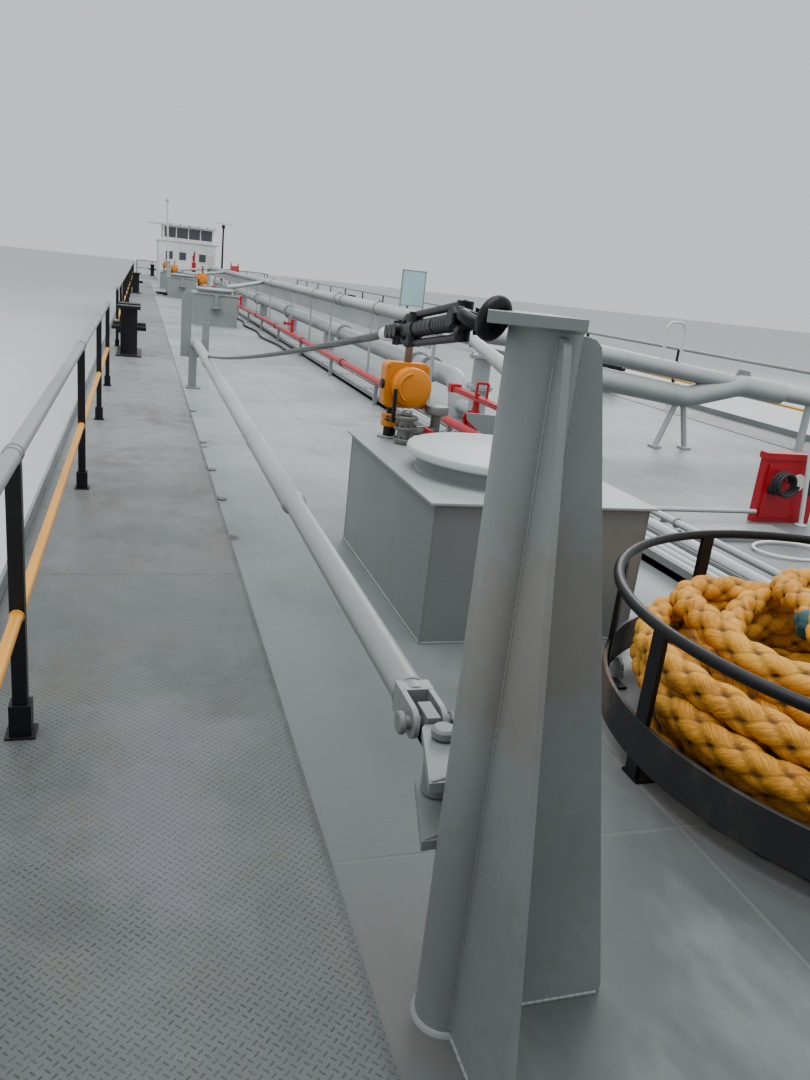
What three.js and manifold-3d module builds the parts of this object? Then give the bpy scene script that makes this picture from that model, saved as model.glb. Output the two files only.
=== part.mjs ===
// River tank barge, self-propelled, at half size.
// Every size below is in metres of the full-size barge; addPart turns them into the model's millimetres.
// +X is towards the bow, +Y is port, +Z is up, z = 0 is the flat bottom and x = 0 is midships.
import * as THREE from 'three';
import { mergeVertices } from 'three/addons/utils/BufferGeometryUtils.js';
import Module from 'manifold-3d';

const wasm = await Module();
wasm.setup();

// driving dimensions
const modelMillimetres = 500; // model millimetres for each full-size metre, so half size
const seat = 0.0006;          // gap between two pieces that touch
const hull = { length: 78, beam: 10.3, depth: 3.6, strakeProud: 0.06, bilgeRadius: 0.45 };
const bowX = hull.length / 2;
const sternX = -hull.length / 2;
const halfBeam = hull.beam / 2;
const sideY = halfBeam - hull.strakeProud;
const deck = hull.depth;
const railLine = { y: 4.83, height: 1.0, middle: 0.46, tube: 0.028, middleTube: 0.02, post: 0.024 };
const treadPlate = 0.008;      // thickness of the side decks' tread plate
const derrick = { x: 30.556, y: -3.744, pipe: 0.07, height: 1.599 };
const boom = { pinX: 30.212, y: -3.744, z: 0.585, stepX: 28.16, tipX: 20.37, heelTube: 0.047, tube: 0.058 };
const basket = { x: 29.74, y: -1.57, radius: 1.15, height: 0.6, band: [0.07, 0.23], legs: 9, firstLeg: -92 };
const coil = { inner: 0.42, outer: 1.07, low: seat, shoulder: 0.42, top: 0.52 };
const house = { fore: -25, aft: -34, starboard: -3.35, port: 0.05, height: 2.45, wall: 0.1 };
const wheelhouse = { fore: -25.2, aft: -29.4, starboard: -3.16, port: -0.08, sill: 0.16, head: 0.78, wall: 0.08 };

// finishes
const finishes = {
  deckGrey: [0x8a9394, 0.7, 0],
  plateGrey: [0x7d8482, 0.75, 0],
  gearGrey: [0x858b8b, 0.5, 0],
  pipeGrey: [0xb4b9bb, 0.5, 0],
  black: [0x1b1c1e, 0.55, 0],
  yellow: [0xe39b1a, 0.6, 0],
  orange: [0xe08a10, 0.4, 0],
  red: [0xb3202a, 0.45, 0],
  white: [0xe6e6e0, 0.5, 0],
  windowGlass: [0x28323a, 0.1, 0],
  steel: [0x70767a, 0.4, 0.8],
  bronze: [0xa5824a, 0.35, 0.9],
};

const barge = new THREE.Group();

// geometry into a solid: only positions are kept, and corners are shared
function solid(geometry) {
  const bare = geometry.clone();
  bare.deleteAttribute('normal');
  bare.deleteAttribute('uv');
  const merged = mergeVertices(bare, 1e-6);
  return new wasm.Manifold(new wasm.Mesh({
    numProp: 3,
    vertProperties: new Float32Array(merged.attributes.position.array),
    triVerts: new Uint32Array(merged.index.array),
  }));
}

const join = (...pieces) => pieces.flat(Infinity).reduce((whole, piece) => whole.add(piece));

// a named piece of the barge, from a solid in full-size metres
function addPart(name, shape, finish) {
  const { vertProperties, triVerts } = shape.getMesh();
  const geometry = new THREE.BufferGeometry();
  geometry.setAttribute('position', new THREE.BufferAttribute(new Float32Array(vertProperties), 3));
  geometry.setIndex(new THREE.BufferAttribute(new Uint32Array(triVerts), 1));
  geometry.scale(modelMillimetres, modelMillimetres, modelMillimetres);
  geometry.computeVertexNormals();
  const [color, roughness, metalness] = finishes[finish];
  const mesh = new THREE.Mesh(geometry, new THREE.MeshStandardMaterial({ color, roughness, metalness }));
  mesh.name = name;
  barge.add(mesh);
}

// a box from its lowest and highest x, y and z
function block([x0, x1], [y0, y1], [z0, z1]) {
  const box = new THREE.BoxGeometry(x1 - x0, y1 - y0, z1 - z0);
  return solid(box.translate((x0 + x1) / 2, (y0 + y1) / 2, (z0 + z1) / 2));
}

// a round bar or cone between two points
function bar(from, to, radius, { sides = 12, endRadius = radius } = {}) {
  const start = new THREE.Vector3(...from);
  const along = new THREE.Vector3(...to).sub(start);
  const shape = new THREE.CylinderGeometry(endRadius, radius, along.length(), sides);
  shape.translate(0, along.length() / 2, 0);
  shape.applyQuaternion(new THREE.Quaternion().setFromUnitVectors(THREE.Object3D.DEFAULT_UP, along.normalize()));
  return solid(shape.translate(start.x, start.y, start.z));
}

// a flat outline, [u, v] points in order, given a thickness across
// plane 'xz' is a plate that stands fore and aft, 'yz' athwartships and 'xy' lies flat
function plate(outline, plane, [low, high]) {
  const shape = outline instanceof THREE.Shape
    ? outline : new THREE.Shape(outline.map(([u, v]) => new THREE.Vector2(u, v)));
  const slab = new THREE.ExtrudeGeometry(shape, { depth: high - low, bevelEnabled: false, curveSegments: 8 });
  slab.translate(0, 0, low);
  if (plane === 'xz') slab.applyMatrix4(new THREE.Matrix4().set(1, 0, 0, 0, 0, 0, -1, 0, 0, 1, 0, 0, 0, 0, 0, 1));
  if (plane === 'yz') slab.applyMatrix4(new THREE.Matrix4().set(0, 0, 1, 0, 1, 0, 0, 0, 0, 1, 0, 0, 0, 0, 0, 1));
  return solid(slab);
}

// a plate that stands fore and aft, between two y values
const uprightPlate = (outline, [y0, y1]) => plate(outline, 'xz', [-y1, -y0]);

// a solid turned about an upright axis, from [radius, z] points that start and end on it
function turned(profile, x, y, z, sides = 24) {
  const lathe = new THREE.LatheGeometry(profile.map(([r, h]) => new THREE.Vector2(r, h)), sides);
  return solid(lathe.rotateX(Math.PI / 2).translate(x, y, z));
}

// a route of straight runs with round corners, sampled just where it bends
class PipeRoute extends THREE.Curve {
  constructor(corners, bendRadius, cuts = 4) {
    super();
    const points = corners.map((corner) => new THREE.Vector3(...corner));
    this.samples = [[points[0], points[1].clone().sub(points[0]).normalize()]];
    for (let i = 1; i < points.length - 1; i += 1) {
      const before = points[i].clone().sub(points[i - 1]).normalize();
      const after = points[i + 1].clone().sub(points[i]).normalize();
      const turn = before.angleTo(after);
      const reach = bendRadius * Math.tan(turn / 2);
      const side = after.clone().addScaledVector(before, -before.dot(after)).normalize();
      const start = points[i].clone().addScaledVector(before, -reach);
      for (let cut = 0; cut <= cuts; cut += 1) {
        const angle = (turn * cut) / cuts;
        const place = start.clone().addScaledVector(before, bendRadius * Math.sin(angle));
        place.addScaledVector(side, bendRadius * (1 - Math.cos(angle)));
        const heading = before.clone().multiplyScalar(Math.cos(angle)).addScaledVector(side, Math.sin(angle));
        this.samples.push([place, heading]);
      }
    }
    const last = points.length - 1;
    this.samples.push([points[last], points[last].clone().sub(points[last - 1]).normalize()]);
    this.steps = this.samples.length - 1;
  }

  getPoint(t) {
    const place = Math.min(t * this.steps, this.steps - 1e-9);
    const i = Math.floor(place);
    return this.samples[i][0].clone().lerp(this.samples[i + 1][0], place - i);
  }

  getPointAt(u) { return this.getPoint(u); }

  getTangentAt(u) { return this.samples[Math.round(u * this.steps)][1].clone(); }
}

// a round section carried along a curve
function tube(curve, radius, { sides, steps }) {
  const section = new THREE.Shape();
  for (let i = 0; i < sides; i += 1) {
    const angle = (2 * Math.PI * i) / sides;
    const [u, v] = [radius * Math.cos(angle), radius * Math.sin(angle)];
    if (i) section.lineTo(u, v); else section.moveTo(u, v);
  }
  return solid(new THREE.ExtrudeGeometry(section, { steps, extrudePath: curve, curveSegments: 1 }));
}

// a round pipe along a route of corners
function pipe(corners, radius, { bend = 3 * radius, sides = 12, cuts = 4 } = {}) {
  const route = new PipeRoute(corners, bend, cuts);
  return tube(route, radius, { sides, steps: route.steps });
}

// the hull: its side view, its plan and its midship section cut out of each other
function addHull() {
  const side = new THREE.Shape();
  side.moveTo(sternX, deck);
  side.lineTo(sternX, 2.0);
  side.lineTo(-33.5, 1.75);
  side.lineTo(-28.5, 0);
  side.lineTo(31, 0);
  side.quadraticCurveTo(36, 0, bowX, 2.5);
  side.lineTo(bowX, deck);
  const plan = new THREE.Shape();
  plan.moveTo(sternX, -4.3);
  plan.quadraticCurveTo(-38, -sideY, -35, -sideY);
  plan.lineTo(32.5, -sideY);
  plan.bezierCurveTo(36, -sideY, bowX, -4.2, bowX, -1.6);
  plan.lineTo(bowX, 1.6);
  plan.bezierCurveTo(bowX, 4.2, 36, sideY, 32.5, sideY);
  plan.lineTo(-35, sideY);
  plan.quadraticCurveTo(-38, sideY, sternX, 4.3);
  const section = new THREE.Shape();
  const r = hull.bilgeRadius;
  section.moveTo(-sideY, deck);
  section.lineTo(-sideY, r);
  section.absarc(-sideY + r, r, r, Math.PI, 1.5 * Math.PI);
  section.lineTo(sideY - r, 0);
  section.absarc(sideY - r, r, r, 1.5 * Math.PI, 2 * Math.PI);
  section.lineTo(sideY, deck);
  const body = plate(side, 'xz', [-halfBeam, halfBeam])
    .intersect(plate(plan, 'xy', [0, deck]))
    .intersect(plate(section, 'yz', [sternX, bowX]));

  // rubbing strakes, the low fish plates along the deck edges, and the stern gear that the hull carries
  const fittings = [];
  for (const out of [-1, 1]) {
    const across = (near, far) => [Math.min(out * near, out * far), Math.max(out * near, out * far)];
    for (const z of [1.75, 3.15]) fittings.push(block([-34.5, 31.5], across(sideY - 0.02, halfBeam), [z, z + 0.2]));
    fittings.push(block([-35, 32.5], across(sideY - 0.03, sideY - 0.012), [deck - 0.01, deck + 0.1]));
    // skeg with the shaft boss, and the flat boss over the rudder
    const skeg = [[-30, 1.4], [-30, 0.56], [-31.5, 0.25], [-34.2, 0.5], [-34.2, 1.9]];
    fittings.push(uprightPlate(skeg, across(shaftY - 0.07, shaftY + 0.07)));
    fittings.push(bar([-29.5, out * shaftY, propeller.z], [propeller.x + 0.16 + seat, out * shaftY, propeller.z], 0.15));
    fittings.push(bar([rudder.x, out * shaftY, rudder.top + seat], [rudder.x, out * shaftY, 2.1], 0.16));
  }
  addPart('hull', join(body, fittings), 'deckGrey');
}

const shaftY = 2.5;
const propeller = { x: -34.9, z: 0.85, radius: 0.7 };
const rudder = { x: -36.9, top: 1.75, bottom: 0.2 };

// one propeller and one rudder on each side
function addSternGear() {
  for (const [side, y] of [['starboard', -shaftY], ['port', shaftY]]) {
    const hub = bar([propeller.x - 0.22, y, propeller.z], [propeller.x + 0.16, y, propeller.z], 0.1, { endRadius: 0.14 });
    const blades = [0, 1, 2, 3].map((i) => {
      const outline = new THREE.Shape();
      outline.moveTo(-0.1, 0.05);
      outline.quadraticCurveTo(-0.36, 0.45, -0.1, propeller.radius - 0.04);
      outline.quadraticCurveTo(0.05, propeller.radius, 0.16, propeller.radius - 0.08);
      outline.quadraticCurveTo(0.3, 0.4, 0.1, 0.05);
      const blade = new THREE.ExtrudeGeometry(outline, { depth: 0.03, bevelEnabled: false, curveSegments: 3 });
      blade.translate(0, 0, -0.015).rotateY(Math.PI / 2 - 0.5).rotateX((i * Math.PI) / 2 + Math.PI / 2);
      return solid(blade.translate(propeller.x, y, propeller.z));
    });
    addPart(`propeller_${side}`, join(hub, blades), 'bronze');
    const chord = [[0.3, 0], [0.2, 0.07], [0, 0.08], [-0.8, 0.015], [-0.8, -0.015], [0, -0.08], [0.2, -0.07]]
      .map(([u, v]) => [rudder.x + u, y + v]);
    const stock = bar([rudder.x, y, rudder.top - 0.2], [rudder.x, y, rudder.top], 0.07);
    addPart(`rudder_${side}`, join(plate(chord, 'xy', [rudder.bottom, rudder.top - 0.1]), stock), 'black');
  }
}

// tread plate on the side decks and the raised plating of the foredeck
function addWalkways() {
  const walkways = [
    // name, x from, x to, inner edge of the plate (distance off the centre line)
    { name: 'walkway_starboard', from: -22, to: 32.4, side: -1, inner: 3.9 },
    { name: 'walkway_port', from: -22, to: 32.4, side: 1, inner: 4.1 },
  ];
  for (const { name, from, to, side, inner } of walkways) {
    const y = [side * inner, side * (sideY - 0.04)].sort((a, b) => a - b);
    addPart(name, block([from, to], y, [deck + seat, deck + treadPlate]), 'plateGrey');
  }
}

// the bulwark round the foredeck
function addBulwark() {
  const outline = (inset) => {
    const y = sideY - 0.05 - inset;
    const x = bowX - 0.05 - inset;
    const shape = new THREE.Shape();
    shape.moveTo(33, -y);
    shape.bezierCurveTo(36, -y, x, -4.1, x, -1.6);
    shape.lineTo(x, 1.6);
    shape.bezierCurveTo(x, 4.1, 36, y, 33, y);
    return shape;
  };
  const foot = deck + seat;
  const wall = plate(outline(0), 'xy', [foot, deck + 1])
    .subtract(plate(outline(0.03), 'xy', [deck - 0.1, deck + 1.1]))
    .subtract(block([32, 33.2], [-6, 6], [deck - 0.1, deck + 1.2]));
  const capRail = plate(outline(-0.04), 'xy', [deck + 0.99, deck + 1.04])
    .subtract(plate(outline(0.09), 'xy', [deck + 0.9, deck + 1.1]))
    .subtract(block([32, 33.2], [-6, 6], [deck - 0.1, deck + 1.2]));
  addPart('bow_bulwark', join(wall, capRail), 'deckGrey');
}

// hand rails: posts with foot sleeves, a top rail and a middle rail
function addRails() {
  const rails = [
    // name, posts along the side (x), whether the rail runs on round the stern
    { name: 'rail_starboard_fore', side: -1, posts: [32.2, 29.17, 25.82, 23.13, 20.8], ends: [32.6, 20.45] },
    { name: 'rail_starboard_middle', side: -1, posts: [16, 13.2, 10.3, 7.4, 4.5, 1.6, -1.3, -4.2],
      ends: [16.2, -4.4] },
    { name: 'rail_starboard_aft', side: -1, posts: [-7.2, -10.8, -14.4, -18, -21.6], ends: [-7, -21.8] },
    { name: 'rail_port', side: 1, posts: [32.2, 28.8, 25.4, 22, 18.6, 15.2, 11.8, 8.4, 5, 1.6, -1.8, -5.2,
      -8.6, -12, -15.4, -18.8, -22], ends: [32.6, -22.2] },
  ];
  const post = (x, y) => [
    block([x - railLine.post, x + railLine.post], [y - railLine.post, y + railLine.post],
      [deck + 0.1, deck + railLine.height]),
    block([x - 0.036, x + 0.036], [y - 0.036, y + 0.036], [deck + treadPlate + seat, deck + 0.13]),
  ];
  for (const { name, side, posts, ends } of rails) {
    const y = side * railLine.y;
    const level = (z, radius) => bar([ends[0], y, deck + z], [ends[1], y, deck + z], radius, { sides: 6 });
    addPart(name, join(posts.map((x) => post(x, y)), level(railLine.height, railLine.tube),
      level(railLine.middle, railLine.middleTube)), 'black');
  }
  // round the stern, open on the line of the side decks
  const sternY = 4.1;
  const aft = sternX + 0.35;
  const corners = [[-34.6, -4.7], [aft - 0.1 + 0.9, -4.7], [aft, -sternY], [aft, sternY], [aft + 0.8, 4.7], [-34.6, 4.7]];
  const sternPosts = [[-34.8, -4.7], [-36.4, -4.7], [aft, -3.6], [aft, -1.2], [aft, 1.2], [aft, 3.6],
    [-36.4, 4.7], [-34.8, 4.7]];
  const run = (z, radius) => pipe(corners.map(([x, y]) => [x, y, deck + z]), radius, { sides: 6, bend: 0.25, cuts: 1 });
  const half = railLine.post;
  const sternPost = ([x, y]) => block([x - half, x + half], [y - half, y + half], [deck + seat, deck + railLine.height]);
  addPart('rail_stern', join(sternPosts.map(sternPost), run(railLine.height, railLine.tube),
    run(railLine.middle, railLine.middleTube)), 'black');
}

// mooring bitts: two box posts with a cap plate and a cross bar on one base plate
function addBitts() {
  const bitts = [
    // name, x of the middle, y of the middle, thickness of the tread plate under it
    { name: 'bitts_starboard_middle', x: 16.9, y: -4.62, under: treadPlate },
    { name: 'bitts_starboard_aft', x: -5.7, y: -4.62, under: treadPlate },
    { name: 'bitts_port_middle', x: 16.9, y: 4.35, under: treadPlate },
    { name: 'bitts_port_aft', x: -5.7, y: 4.35, under: treadPlate },
    { name: 'bitts_stern_starboard', x: -36.6, y: -3.6, under: 0 },
    { name: 'bitts_stern_port', x: -36.6, y: 3.6, under: 0 },
  ];
  for (const { name, x, y, under } of bitts) {
    const foot = deck + under + seat;
    const base = block([x - 0.62, x + 0.62], [y - 0.2, y + 0.2], [foot, foot + 0.02]);
    const posts = [-0.36, 0.36].flatMap((along) => [
      block([x + along - 0.13, x + along + 0.13], [y - 0.13, y + 0.13], [foot, deck + 0.76]),
      block([x + along - 0.18, x + along + 0.18], [y - 0.18, y + 0.18], [deck + 0.75, deck + 0.8]),
      bar([x + along, y - 0.27, deck + 0.45], [x + along, y + 0.27, deck + 0.45], 0.04, { sides: 6 }),
    ]);
    addPart(name, join(base, posts), 'black');
  }
}

// anchor windlass on the foredeck
function addWindlass() {
  const [x, z] = [35.2, deck + 0.62];
  const shaft = bar([x, -1.7, z], [x, 1.7, z], 0.06, { sides: 8 });
  const base = block([x - 0.7, x + 0.7], [-1.4, 1.4], [deck + seat, deck + 0.1]);
  const cheek = [[x - 0.55, deck + 0.08], [x + 0.55, deck + 0.08], [x + 0.16, z + 0.14], [x - 0.16, z + 0.14]];
  const cheeks = [-1.25, -0.35, 0.35, 1.25].map((y) => uprightPlate(cheek, [y - 0.05, y + 0.05]));
  const drum = (y0, y1, radius) => bar([x, y0, z], [x, y1, z], radius, { sides: 12 });
  const drums = [-1, 1].flatMap((side) => [
    drum(side * 0.45, side * 1.15, 0.2), drum(side * 0.45, side * 0.5, 0.42), drum(side * 1.08, side * 1.15, 0.42),
    drum(side * 1.35, side * 1.72, 0.16),
  ]);
  const gearbox = block([x - 0.35, x + 0.35], [-0.36, 0.36], [deck + 0.09, z + 0.2]);
  addPart('windlass', join(base, cheeks, shaft, drums, gearbox), 'gearGrey');
}

// the hose derrick: gusseted pipe post, gooseneck, boom, topping wire and the crutch that holds the tip
const topping = {
  eye: { x: derrick.x + 0.02, y: derrick.y - 0.116, z: deck + derrick.height + 0.01 }, // in the cap's starboard overhang
  crownX: derrick.x - 0.086, // the shackle's crown
  endX: 29.856,              // where the turnbuckle ends and the wire starts
  slope: [0.014, -0.13],     // y and z for each metre aft, along the turnbuckle
  bandX: 22.6,               // the band round the boom
  sag: 0.035,                // of the wire at its middle
};
// how far the cap reaches from the post's axis
const postCap = { aft: 0.05, fore: 0.1, starboard: 0.159, aftStarboard: 0.1, port: 0.031, thickness: 0.02 };
const gussets = { fore: { foot: 0.375, head: 0.085 }, port: { foot: 0.41, head: 0.1 }, thickness: 0.016 };
const shelves = { low: 0.435, high: 0.585, aft: 0.286, thickness: 0.025 }; // undersides, and how far aft

// a gusset's side view: [distance from the post's axis, z]
function gussetOutline({ foot, head }) {
  const [low, high] = [deck + seat, deck + derrick.height - 0.012];
  return [[0, low], [foot, low], [foot, low + 0.03], [head + 0.015, high - 0.05], [head - 0.02, high], [0, high]];
}

function addDerrick() {
  const { x, y, pipe: radius, height } = derrick;
  const post = bar([x, y, deck + seat], [x, y, deck + height], radius, { sides: 20 });
  const [capLow, capTop] = [deck + height - 0.001, deck + height + postCap.thickness];
  const cap = plate([[x + postCap.fore, y - postCap.starboard], [x + postCap.fore, y + postCap.port],
    [x - postCap.aft, y + postCap.port], [x - postCap.aft, y - postCap.aftStarboard]], 'xy', [capLow, capTop]);
  const half = gussets.thickness / 2;
  const fins = [
    uprightPlate(gussetOutline(gussets.fore).map(([u, v]) => [x + u, v]), [y - half, y + half]),
    plate(gussetOutline(gussets.port).map(([u, v]) => [y + u, v]), 'yz', [x + 0.013 - half, x + 0.013 + half]),
  ];
  const shelf = (z) => plate([[x - 0.04, y - 0.095], [x - shelves.aft, y - 0.035],
    [x - shelves.aft, y + 0.035], [x - 0.04, y + 0.095]], 'xy', [deck + z, deck + z + shelves.thickness]);
  addPart('derrick_post', join(post, cap, fins, shelf(shelves.low), shelf(shelves.high)), 'gearGrey');

  // gooseneck: the upright pin between the shelves and the tongue that holds the boom's cross pin
  const boomY = (low, high) => [boom.y + low, boom.y + high];
  const pinX = x - 0.221;
  const [low, high] = [deck + shelves.low + shelves.thickness + seat, deck + shelves.high - seat];
  const upright = bar([pinX, boom.y, low], [pinX, boom.y, high], 0.038, { sides: 12 });
  const z = deck + boom.z;
  const tongue = [block([boom.pinX - 0.035, x - shelves.aft - 0.005], boomY(-0.018, 0.018), [z - 0.05, z + 0.038]),
    block([boom.pinX, pinX], boomY(-0.018, 0.018), [z - 0.05, high])];
  const crossPin = bar([boom.pinX, boom.y - 0.062, z], [boom.pinX, boom.y + 0.062, z], 0.018, { sides: 12 });
  addPart('gooseneck', join(upright, tongue, crossPin), 'gearGrey');

  // boom: fork, slim heel tube, weld ring, thicker tube, tip ring and the band for the wire
  const along = (from, to, radius, endRadius) => bar([from, boom.y, z], [to, boom.y, z], radius, { sides: 16, endRadius });
  const bore = bar([boom.pinX, boom.y - 0.2, z], [boom.pinX, boom.y + 0.2, z], 0.02, { sides: 12 });
  const ears = [-0.046, 0.03].map((side) => join(
    block([boom.pinX - 0.12, boom.pinX], boomY(side, side + 0.016), [z - 0.042, z + 0.042]),
    bar([boom.pinX, boom.y + side, z], [boom.pinX, boom.y + side + 0.016, z], 0.042, { sides: 16 }),
  ).subtract(bore));
  const forkBase = block([boom.pinX - 0.14, boom.pinX - 0.09], boomY(-0.046, 0.046), [z - 0.042, z + 0.042]);
  const tubes = [
    along(boom.pinX - 0.1, boom.stepX, boom.heelTube),
    along(boom.stepX + 0.05, boom.stepX, boom.heelTube, boom.tube),
    along(boom.stepX + 0.002, boom.tipX, boom.tube),
    along(topping.bandX + 0.03, topping.bandX - 0.03, boom.tube + 0.008),
    along(boom.tipX + 0.16, boom.tipX + 0.12, boom.tube + 0.012),
  ];
  const lug = uprightPlate([[topping.bandX - 0.05, z + 0.04], [topping.bandX + 0.035, z + 0.04],
    [topping.bandX + 0.035, z + 0.095], [topping.bandX - 0.03, z + 0.095]], boomY(-0.01, 0.01));
  addPart('derrick_boom', join(ears, forkBase, tubes, lug), 'gearGrey');

  // the shackle whose jaw holds the cap's overhang, the turnbuckle, and the wire to the lug on the boom
  const { eye, crownX, endX, slope, bandX, sag } = topping;
  const on = (place, raised = 0) => [
    place, eye.y + slope[0] * (crownX - place), eye.z - 0.016 + raised + slope[1] * (crownX - place)];
  const jaw = block([crownX, eye.x], [eye.y - 0.022, eye.y + 0.022], [eye.z - 0.045, eye.z + 0.045])
    .subtract(block([x - postCap.aft - seat, x + postCap.fore], [y - 0.2, y], [capLow - seat, capTop + seat]));
  const [foreEnd, aftEnd] = [30.43, 30.117];
  const rods = [-0.03, 0.03].map((raised) => bar(on(foreEnd, raised), on(aftEnd, raised), 0.013, { sides: 8 }));
  const ends = [foreEnd, aftEnd].map((place) => {
    const [u, v, w] = on(place);
    return block([u - 0.028, u + 0.028], [v - 0.024, v + 0.024], [w - 0.046, w + 0.046]);
  });
  const shanks = [[crownX + 0.01, foreEnd, 0.026], [aftEnd, endX, 0.024]]
    .map(([from, to, r]) => bar(on(from), on(to), r, { sides: 8 }));
  addPart('turnbuckle', join(jaw, rods, ends, shanks), 'black');
  const wireEnds = [on(endX - seat), [bandX + 0.0368, boom.y, z + 0.07]].map((place) => new THREE.Vector3(...place));
  const lowest = wireEnds[0].clone().lerp(wireEnds[1], 0.5);
  lowest.z -= 2 * sag;
  const wire = new THREE.QuadraticBezierCurve3(wireEnds[0], lowest, wireEnds[1]);
  addPart('topping_wire', tube(wire, 0.011, { sides: 8, steps: 8 }), 'black');

  // crutch: a post with a slotted head plate that the boom drops into
  const crutchX = boom.tipX + 0.07;
  const slot = boom.tube + 0.012;
  const slotFoot = boom.z - boom.tube - seat;
  const head = plate([[-0.2, 0.4], [0.16, 0.4], [0.16, 0.86], [slot, 0.86], [slot, boom.z - 0.03], [0.04, slotFoot],
    [-0.04, slotFoot], [-slot, boom.z - 0.03], [-slot, 1.22], [-0.16, 1.22], [-0.2, 1.1]]
    .map(([u, v]) => [boom.y + u, deck + v]), 'yz', [crutchX - 0.015, crutchX + 0.015]);
  const leg = block([crutchX - 0.05, crutchX + 0.05], boomY(-0.09, 0.01), [deck + seat, deck + 0.5]);
  const foot = block([crutchX - 0.1, crutchX + 0.1], boomY(-0.12, 0.06), [deck + seat, deck + 0.02]);
  addPart('boom_crutch', join(head, leg, foot), 'gearGrey');
}

// the after derrick, left raised
function addAfterDerrick() {
  const [x, y, height] = [-8, -3.3, 1.25];
  const post = bar([x, y, deck + seat], [x, y, deck + height], 0.08, { sides: 14 });
  const foot = bar([x, y, deck + seat], [x, y, deck + 0.03], 0.2, { sides: 14 });
  const pinZ = deck + height + 0.09;
  const cheek = [[x - 0.07, deck + height - 0.01], [x + 0.07, deck + height - 0.01],
    [x + 0.05, pinZ + 0.06], [x - 0.05, pinZ + 0.06]];
  const cheeks = [-0.085, 0.055].map((side) => uprightPlate(cheek, [y + side, y + side + 0.03]));
  const pin = bar([x, y - 0.1, pinZ], [x, y + 0.1, pinZ], 0.02);
  addPart('after_derrick_post', join(post, foot, cheeks, pin), 'gearGrey');
  const raised = THREE.MathUtils.degToRad(38);
  const reach = (distance) => [x - distance * Math.cos(raised), y, pinZ + distance * Math.sin(raised)];
  const eye = bar([x, y - 0.04, pinZ], [x, y + 0.04, pinZ], 0.05, { sides: 12 })
    .subtract(bar([x, y - 0.1, pinZ], [x, y + 0.1, pinZ], 0.022, { sides: 12 }));
  const arm = [bar(reach(0.045), reach(4.4), 0.04), bar(reach(4.3), reach(4.42), 0.07)];
  addPart('after_derrick_boom', join(eye, arm), 'gearGrey');
}

// the rope basket on the foredeck: an open hoop on flat legs, and the coil that fills it
function addBasket() {
  const { x, y, radius, height, band } = basket;
  const ring = new THREE.TorusGeometry(radius, 0.022, 6, 32).translate(x, y, deck + height);
  const hoop = turned([[radius - 0.016, band[0]], [radius, band[0]], [radius, band[1]], [radius - 0.016, band[1]],
    [radius - 0.016, band[0]]], x, y, deck, 32);
  const legs = Array.from({ length: basket.legs }, (_, i) => {
    const angle = THREE.MathUtils.degToRad(basket.firstLeg) + (i * 2 * Math.PI) / basket.legs;
    const shape = new THREE.BoxGeometry(0.02, 0.07, height - seat);
    shape.translate(radius - 0.012, 0, (height + seat) / 2).rotateZ(angle);
    return solid(shape.translate(x, y, deck));
  });
  addPart('rope_basket', join(hoop, solid(ring), legs), 'black');
  const middle = (coil.inner + coil.outer) / 2;
  const ringCoil = turned([[coil.inner, coil.low], [coil.outer, coil.low], [coil.outer, coil.shoulder], [middle + 0.16, coil.top],
    [middle - 0.16, coil.top], [coil.inner, coil.shoulder], [coil.inner, coil.low]], x, y, deck, 20);
  addPart('mooring_rope', ringCoil, 'yellow');
}

// tank hatch trunks along the starboard side, each with a round lid
const trunks = [
  // fore end x, length, starboard side y, port side y, height
  { fore: 28.52, length: 1.64, starboard: -3.16, port: -2.03, height: 0.71 },
  { fore: 9.2, length: 1.7, starboard: -3.13, port: -2.05, height: 0.8 },
  { fore: -4.4, length: 1.7, starboard: -3.38, port: -2.3, height: 0.8 },
  { fore: -12.9, length: 1.7, starboard: -3.5, port: -2.42, height: 0.8 },
];
const lid = { radius: 0.49, coaming: 0.43, thickness: 0.048, rise: 0.085 };
const gauge = { back: 0.12, inboard: 0.2, stool: 0.07 }; // from the trunk's aft starboard corner
const gaugeValves = [
  // distance from the aft edge, from the starboard edge, radius and height of the stool
  { back: 0.32, inboard: 0.24, radius: 0.055, high: 0.015 },
  { back: 0.22, inboard: 0.46, radius: 0.05, high: 0.015 },
];

// a level gauge standing on z: two flanges, stem, housing plate, the drum that faces forward and the vent
function gaugeShape(x, y, z, sides) {
  return join(
    bar([x, y, z], [x, y, z + 0.035], 0.06, { sides }),
    bar([x, y, z + 0.045], [x, y, z + 0.08], 0.06, { sides }),
    bar([x, y, z], [x, y, z + 0.13], 0.03, { sides }),
    block([x - 0.07, x + 0.04], [y - 0.07, y + 0.21], [z + 0.12, z + 0.395]),
    bar([x + 0.03, y + 0.085, z + 0.255], [x + 0.14, y + 0.085, z + 0.255], 0.12, { sides: sides + 4 }),
    bar([x - 0.02, y + 0.08, z + 0.38], [x - 0.02, y + 0.08, z + 0.58], 0.03, { sides: 8 }),
  );
}

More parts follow.
